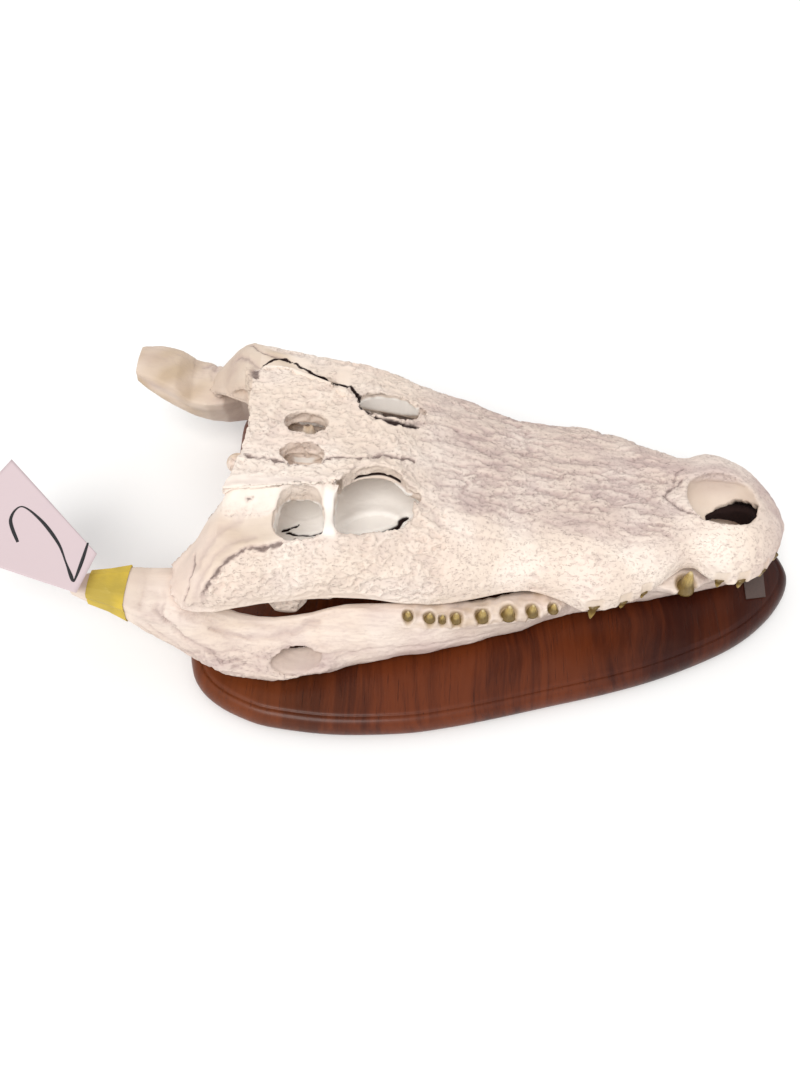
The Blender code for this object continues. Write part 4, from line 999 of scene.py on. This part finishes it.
def closed_object(name, points, faces):
    """An object whose faces all look outward."""
    mesh = bpy.data.meshes.new(name)
    mesh.from_pydata(points, [], faces)
    bm = bmesh.new()
    bm.from_mesh(mesh)
    bmesh.ops.recalc_face_normals(bm, faces=bm.faces)
    bm.to_mesh(mesh)
    bm.free()
    return bpy.data.objects.new(name, mesh)


def through_rings(name, rings):
    """A closed object through rings of as many points each, with a face on the first and the last."""
    count = len(rings[0])
    faces = []
    for row in range(len(rings) - 1):
        for i in range(count):
            j = (i + 1) % count
            faces.append((row * count + i, (row + 1) * count + i, (row + 1) * count + j, row * count + j))
    faces.append(tuple(range(count)))
    faces.append(tuple((len(rings) - 1) * count + i for i in reversed(range(count))))
    return closed_object(name, np.concatenate(rings), faces)


def bone_of(mesh):
    """For each face, which of the skull's bones lies nearest."""
    points, faces, owners = [], [], []
    for number, node in enumerate(SKULL_NODES):
        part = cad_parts[node].data
        faces += [[len(points) + i for i in face.vertices] for face in part.polygons]
        owners += [number] * len(part.polygons)
        points += [vertex.co for vertex in part.vertices]
    tree = BVHTree.FromPolygons(points, faces)
    return np.array([owners[tree.find_nearest(face.center)[2]] for face in mesh.polygons])


def close_cut(piece):
    """Puts a lid on the one open ring of a piece, facing outward, and drops its unused points."""
    bm = bmesh.new()
    bm.from_mesh(piece)
    bmesh.ops.delete(bm, geom=[vertex for vertex in bm.verts if not vertex.link_faces], context="VERTS")
    lid = bmesh.ops.holes_fill(bm, edges=[edge for edge in bm.edges if edge.is_boundary], sides=0)["faces"]
    for face in lid:
        if any(loop.link_loop_radial_next.vert == loop.vert for loop in face.loops):
            face.normal_flip()
    bm.to_mesh(piece)
    bm.free()


def split_bones(mesh, owners, finish):
    """Cuts the skull's mesh into closed pieces, one for each bone, that meet without a gap."""
    totals = np.zeros(len(mesh.polygons), np.int32)
    mesh.polygons.foreach_get("loop_total", totals)
    corners = np.zeros(len(mesh.loops), np.int32)
    mesh.loops.foreach_get("vertex_index", corners)
    if not (totals == 4).all():
        raise RuntimeError("the even mesh should be all quads")
    corners = corners.reshape(-1, 4)
    co = read(mesh, "position")
    normal = normals_of(mesh)
    kept = {name: read(mesh, name) for name in KEPT}
    for number, node in enumerate(SKULL_NODES):
        used, faces = np.unique(corners[owners == number], return_inverse=True)
        faces = faces.reshape(-1, 4)
        count = len(used)
        sides = np.stack([faces, np.roll(faces, -1, axis=1)], 2).reshape(-1, 2)
        start, end = sides[~np.isin(sides @ (count, 1), sides @ (1, count))].T
        parts = [faces, np.stack([end, start, start + count, end + count], 1)]
        capped = node == "snout"
        if not capped:
            parts.append(faces[:, ::-1] + count)
        inner = co[used] - (CAPPED_DEPTH if capped else SHELL_DEPTH) * normal[used]
        points = np.vstack([co[used], inner])
        points[:, 2] = np.minimum(points[:, 2], CAD_BOX[1][2] - 0.00005)
        piece = bpy.data.meshes.new(node + "_bone")
        piece.from_pydata(points, [], np.vstack(parts))
        for name, values in kept.items():
            write(piece, name, np.tile(values[used], 2))
        if capped:
            close_cut(piece)
        settle(bpy.data.objects.new(node + "_bone", piece), finish, "bone", node)
        added = len(piece.vertices) - count
        piece.normals_split_custom_set_from_vertices(normal[used].tolist() + [(0.0, 0.0, 0.0)] * added)


class SKULL_OT_upper(bpy.types.Operator):
    """Builds the upper skull's weathered bones"""

    bl_idname = "skull.upper"
    bl_label = "Upper skull"

    def execute(self, context):
        obj = merged_copy(SKULL_NODES, "skull_work", UPPER_TEETH, -1)
        mesh = remesh(obj, context.scene.bone.voxel)
        owners = bone_of(mesh)
        model_skull(mesh)
        split_bones(relieve(obj, bone_material()), owners, bone_material())
        bpy.data.objects.remove(obj)
        return {"FINISHED"}


class SKULL_OT_jaws(bpy.types.Operator):
    """Builds both halves of the lower jaw"""

    bl_idname = "skull.jaws"
    bl_label = "Lower jaw"

    def execute(self, context):
        for node, side in (("mandible_left", 1), ("mandible_right", -1)):
            obj = merged_copy([node], node + "_bone", LOWER_TEETH, 1)
            model_jaw(remesh(obj, context.scene.bone.voxel), side)
            relieve(obj, bone_material())
            settle(obj, bone_material(), "bone", node)
        return {"FINISHED"}


def tooth_tree():
    """Geometry nodes that set a pointed, slightly bent tooth on each given point."""
    graph, asked = geometry_graph("Tooth row", ("Bend", "Wear"))
    cone = graph.node("GeometryNodeMeshCone", {"fill_type": "TRIANGLE_FAN"},
                      {"Vertices": 22, "Side Segments": 16, "Radius Top": 0.02, "Radius Bottom": 1.0, "Depth": 1.5})
    place = graph.node("GeometryNodeInputPosition")
    up = (graph.node("ShaderNodeSeparateXYZ", None, {0: place}, "Z") - 0.5).clamp()
    full = graph.math("SQRT", (1.0 - up * up * 0.96).clamp())
    slender = graph.math("MAXIMUM", (1.0 - up * 0.985).clamp(), 0.02)
    girth = full / slender * (1.0 - 0.42 * up)
    flat = graph.node("ShaderNodeCombineXYZ", None, {0: girth, 1: girth, 2: 1.0})
    bend = graph.node("ShaderNodeCombineXYZ", None, {1: up * up * asked("Bend")})
    shaped = graph.vector("ADD", graph.vector("MULTIPLY", place, flat), bend)
    moved = graph.node("GeometryNodeSetPosition", None, {"Geometry": cone, "Position": shaped})
    row = graph.node("GeometryNodeInstanceOnPoints", None, {
        "Points": asked("Geometry"), "Instance": graph.kept(moved, "tip", up),
        "Rotation": graph.stored("turn", "FLOAT_VECTOR"), "Scale": graph.stored("size", "FLOAT_VECTOR")})
    uneven = graph.noise(graph.node("GeometryNodeInputPosition"), 260.0) - 0.5
    return graph.finish(graph.pushed(graph.real(row), uneven * asked("Wear")), asked("Material"))


class SKULL_OT_teeth(bpy.types.Operator):
    """Sets the teeth in both jaws"""

    bl_idname = "skull.teeth"
    bl_label = "Teeth"

    def execute(self, context):
        tooth = context.scene.tooth
        tree = tooth_tree()
        for name, teeth, up, fullness in (("upper_teeth", UPPER_TEETH, -1, tooth.upper_fullness),
                                          ("lower_teeth", LOWER_TEETH, 1, tooth.lower_fullness)):
            rows = []
            for side in (1, -1):
                way = Vector((0.0, side * TOOTH_LEAN, up)).normalized()
                for x, y, z, radius, length in teeth:
                    wide, high = radius * SKULL_LENGTH * fullness, length * SKULL_LENGTH * TOOTH_STRETCH
                    middle = to_world((x, side * y, z)) - np.array(way) * 0.5 * high
                    rows.append((middle, (wide, wide, high), way.to_track_quat("Z", "Y").to_euler()))
            middles, sizes, turns = zip(*rows)
            mesh = bpy.data.meshes.new(name)
            mesh.from_pydata(middles, [], [])
            for key, values in (("size", sizes), ("turn", turns)):
                made = mesh.attributes.new(key, "FLOAT_VECTOR", "POINT")
                made.data.foreach_set("vector", np.asarray(values, np.float32).ravel())
            obj = bpy.data.objects.new(name, mesh)
            context.scene.collection.objects.link(obj)
            apply_tree(obj, tree, {"Bend": 0.16, "Wear": 0.0005, "Material": tooth_material()})
            settle(obj, tooth_material(), "bone")
        return {"FINISHED"}


def smooth_value(stations, x):
    """Value at x of a smooth curve through stations, without overshoot."""
    xs, ys = np.array(stations, float).T
    chords = np.diff(ys) / np.diff(xs)
    slopes = np.r_[chords[0], np.zeros(len(xs) - 2), chords[-1]]
    same = chords[:-1] * chords[1:] > 0
    slopes[1:-1][same] = (2 * chords[:-1] * chords[1:] / np.where(same, chords[:-1] + chords[1:], 1))[same]
    i = int(np.clip(np.searchsorted(xs, x) - 1, 0, len(xs) - 2))
    width = xs[i + 1] - xs[i]
    t = min(max((x - xs[i]) / width, 0.0), 1.0)
    return ((1 + 2 * t) * (1 - t) ** 2 * ys[i] + t * t * (3 - 2 * t) * ys[i + 1]
            + width * (t * (1 - t) ** 2 * slopes[i] - t * t * (1 - t) * slopes[i + 1]))


def board_outline():
    """The board's outline and its outward directions, in skull lengths, counter-clockwise."""
    stations, widths = BOARD_HALF_WIDTH.T
    xs = [x for start, end in zip(stations, stations[1:]) for x in np.linspace(start, end, 7, endpoint=False)]
    half = [(x, smooth_value(BOARD_HALF_WIDTH, x)) for x in (*xs, stations[-1])]
    rear = [(stations[0] + BOARD_REAR_DIP * (1 - (y / widths[0]) ** 2), y)
            for y in np.linspace(0, widths[0], 18, endpoint=False)]
    one = rear + half
    spots = np.array([(x, -y) for x, y in one] + [(x, y) for x, y in reversed(one[1:-1])])
    for _ in range(3):
        spots = 0.25 * (np.roll(spots, 1, axis=0) + np.roll(spots, -1, axis=0)) + 0.5 * spots
    ahead = np.roll(spots, -1, axis=0) - np.roll(spots, 1, axis=0)
    out = np.stack([ahead[:, 1], -ahead[:, 0]], 1)
    out /= np.linalg.norm(out, axis=1)[:, None]
    turn = np.array([[math.cos(BOARD_TURN), -math.sin(BOARD_TURN)], [math.sin(BOARD_TURN), math.cos(BOARD_TURN)]])
    pivot = np.array([BOARD_PIVOT, 0.0])
    return (spots - pivot) @ turn.T + pivot, out @ turn.T


class SKULL_OT_board(bpy.types.Operator):
    """Builds the varnished board with its grooved, rounded edge"""

    bl_idname = "skull.board"
    bl_label = "Board"

    def execute(self, context):
        spots, out = board_outline()
        rings = []
        for outward, drop in BOARD_MOULDING:
            flat = spots * SKULL_LENGTH + out * outward + ORIGIN[:2]
            rings.append(np.column_stack([flat, np.full(len(flat), ORIGIN[2] + drop)]))
        top, bottom = rings[0], rings[-1]
        middle = top.mean(axis=0)
        low_middle = np.array([*middle[:2], bottom[0][2]])
        rings = ([middle + (top - middle) * share for share in (0.08, 0.25, 0.5, 0.75, 0.92)] + rings
                 + [low_middle + (bottom - low_middle) * share for share in (0.6, 0.1)])
        settle(through_rings("board", rings), wood_material(), "varnished_wood", "plaque")
        return {"FINISHED"}


def tag_place(u, v):
    """Point on the tag from its corners, u along the tag and v across it, both 0 to 1."""
    a, b, c, d = TAG_CORNERS
    return (a * (1 - u) + d * u) * (1 - v) + (b * (1 - u) + c * u) * v


def tag_spot(u, v):
    """The same point in metres, along and across the part."""
    return tag_place(u, v) * SKULL_LENGTH + ORIGIN[:2]


def tag_share(spot):
    """How far along and across the tag a point lies, the reverse of tag_place."""
    u = v = 0.5
    for _ in range(8):
        here = tag_place(u, v)
        along, across = (tag_place(u + 0.01, v) - here) / 0.01, (tag_place(u, v + 0.01) - here) / 0.01
        step = np.linalg.solve(np.column_stack([along, across]), spot - here)
        u, v = u + step[0], v + step[1]
    return u, v


def tag_rise(u, v):
    """Height in metres by which the paper curls off its plane."""
    return 0.0022 * math.sin(2.6 * u + 0.9) * (1 - u) + 0.0016 * (1 - u) * (2 * v - 1) ** 2


def tag_sheet(base):
    """The paper, a thin sheet on a grid."""
    steps = range(SHEET_STEPS)
    points, faces = [], []
    for layer in (0.0, PAPER_THICKNESS):
        for i in steps:
            for j in steps:
                u, v = i / steps[-1], j / steps[-1]
                points.append((*tag_spot(u, v), base + PAPER_THICKNESS + tag_rise(u, v) + layer))

    def at(i, j, layer):
        return (layer * SHEET_STEPS + i) * SHEET_STEPS + j

    for i in steps[:-1]:
        for j in steps[:-1]:
            faces.append((at(i, j, 0), at(i, j + 1, 0), at(i + 1, j + 1, 0), at(i + 1, j, 0)))
            faces.append((at(i, j, 1), at(i + 1, j, 1), at(i + 1, j + 1, 1), at(i, j + 1, 1)))
    last = steps[-1]
    rim = ([(i, 0) for i in steps[:-1]] + [(last, j) for j in steps[:-1]]
           + [(i, last) for i in steps[:0:-1]] + [(0, j) for j in steps[:0:-1]])
    for (i, j), (k, m) in zip(rim, rim[1:] + rim[:1]):
        faces.append((at(i, j, 0), at(k, m, 0), at(k, m, 1), at(i, j, 1)))
    return closed_object("paper_tag", points, faces)


def tag_number(base, width):
    """A plain inked number that lies on the paper."""
    line = smooth_line(NUMBER_STROKE, 12, False)
    spots = line * SKULL_LENGTH + ORIGIN[:2]
    ahead = np.gradient(spots, axis=0)
    ahead /= np.linalg.norm(ahead, axis=1)[:, None]
    rings = []
    for k, (spot, (x, y)) in enumerate(zip(spots, ahead)):
        half = 0.5 * width * (0.75 + 0.25 * math.sin(0.19 * k)) * np.array([-y, x])
        low = base + 0.00063 + tag_rise(*tag_share(line[k]))
        rings.append([(*(spot + off), low + up) for off, up in (
            (-half, 0.0), (half, 0.0), (half, INK_THICKNESS), (-half, INK_THICKNESS))])
    return through_rings("tag_number", rings)


class SKULL_OT_tag(bpy.types.Operator):
    """Builds the curled paper tag, the number on it, and the tape"""

    bl_idname = "skull.tag"
    bl_label = "Tag and tape"

    def execute(self, context):
        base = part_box("tag_card")[0].z
        settle(tag_sheet(base), paper_material(), "paper", "tag_card")
        settle(tag_number(base, context.scene.papers.line_width), ink_material(), "paper")
        finish_node("tag_tape", tape_material())
        return {"FINISHED"}


class SKULL_OT_label(bpy.types.Operator):
    """Finishes the bare label on the board"""

    bl_idname = "skull.label"
    bl_label = "Label"

    def execute(self, context):
        finish_node("label_card", label_material())
        return {"FINISHED"}


class SKULL_OT_stage(bpy.types.Operator):
    """Sets up the floor, the lights and the camera"""

    bl_idname = "skull.stage"
    bl_label = "Stage"

    def execute(self, context):
        scene = context.scene
        size = FLOOR_REACH
        mesh = bpy.data.meshes.new("floor")
        mesh.from_pydata([(-size, -size, 0), (size, -size, 0), (size, size, 0), (-size, size, 0)], [], [(0, 1, 2, 3)])
        mesh.materials.append(floor_material())
        floor = bpy.data.objects.new("floor", mesh)
        scene.collection.objects.link(floor)

        world = bpy.data.worlds.new("studio")
        world.use_nodes = True
        sky = world.node_tree.nodes["Background"].inputs
        sky["Color"].default_value = (1.0, 1.0, 1.0, 1.0)
        sky["Strength"].default_value = scene.stage.sky
        scene.world = world
        scene.view_settings.view_transform = "Standard"

        light = bpy.data.lights.new("key", "SUN")
        light.angle = math.radians(KEY_SPREAD)
        light.energy = scene.stage.key
        light.color = KEY_COLOUR
        key = bpy.data.objects.new("key", light)
        key.rotation_euler = Vector(KEY_FROM).to_track_quat("Z", "Y").to_euler()
        scene.collection.objects.link(key)

        camera = bpy.data.cameras.new("camera")
        camera.sensor_width = 36.0
        camera.lens = CAMERA_LENS
        camera.clip_start = 0.01
        obj = bpy.data.objects.new("camera", camera)
        turn = Matrix((CAMERA_RIGHT, CAMERA_UP, [-value for value in CAMERA_AHEAD])).transposed()
        obj.matrix_world = Matrix.Translation(to_world(CAMERA_PLACE)) @ turn.to_4x4()
        scene.collection.objects.link(obj)
        scene.camera = obj
        return {"FINISHED"}


OPERATORS = (SKULL_OT_upper, SKULL_OT_jaws, SKULL_OT_teeth, SKULL_OT_board, SKULL_OT_tag, SKULL_OT_label,
             SKULL_OT_stage)
SETTINGS = (("bone", BoneSettings), ("tooth", ToothSettings), ("board", BoardSettings), ("papers", PaperSettings),
            ("stage", StageSettings))


class SKULL_PT_panel(bpy.types.Panel):
    """Lists the skull's pieces and their settings"""

    bl_idname = "SKULL_PT_panel"
    bl_label = "Mounted skull"
    bl_space_type = "VIEW_3D"
    bl_region_type = "UI"
    bl_category = "Skull"

    def draw(self, context):
        for operator in OPERATORS:
            self.layout.operator(operator.bl_idname)
        for name, group in SETTINGS:
            box = self.layout.box()
            box.label(text=group.__doc__)
            for key in group.__annotations__:
                box.prop(getattr(context.scene, name), key)


def register():
    for _, group in SETTINGS:
        bpy.utils.register_class(group)
    for name, group in SETTINGS:
        setattr(bpy.types.Scene, name, bpy.props.PointerProperty(type=group))
    for operator in OPERATORS:
        bpy.utils.register_class(operator)
    bpy.utils.register_class(SKULL_PT_panel)


def unregister():
    bpy.utils.unregister_class(SKULL_PT_panel)
    for operator in reversed(OPERATORS):
        bpy.utils.unregister_class(operator)
    for name, group in reversed(SETTINGS):
        delattr(bpy.types.Scene, name)
        bpy.utils.unregister_class(group)


def main():
    register()
    bpy.ops.skull.upper()
    bpy.ops.skull.jaws()
    bpy.ops.skull.teeth()
    bpy.ops.skull.board()
    bpy.ops.skull.tag()
    bpy.ops.skull.label()
    bpy.ops.skull.stage()


if __name__ == "__main__":
    main()
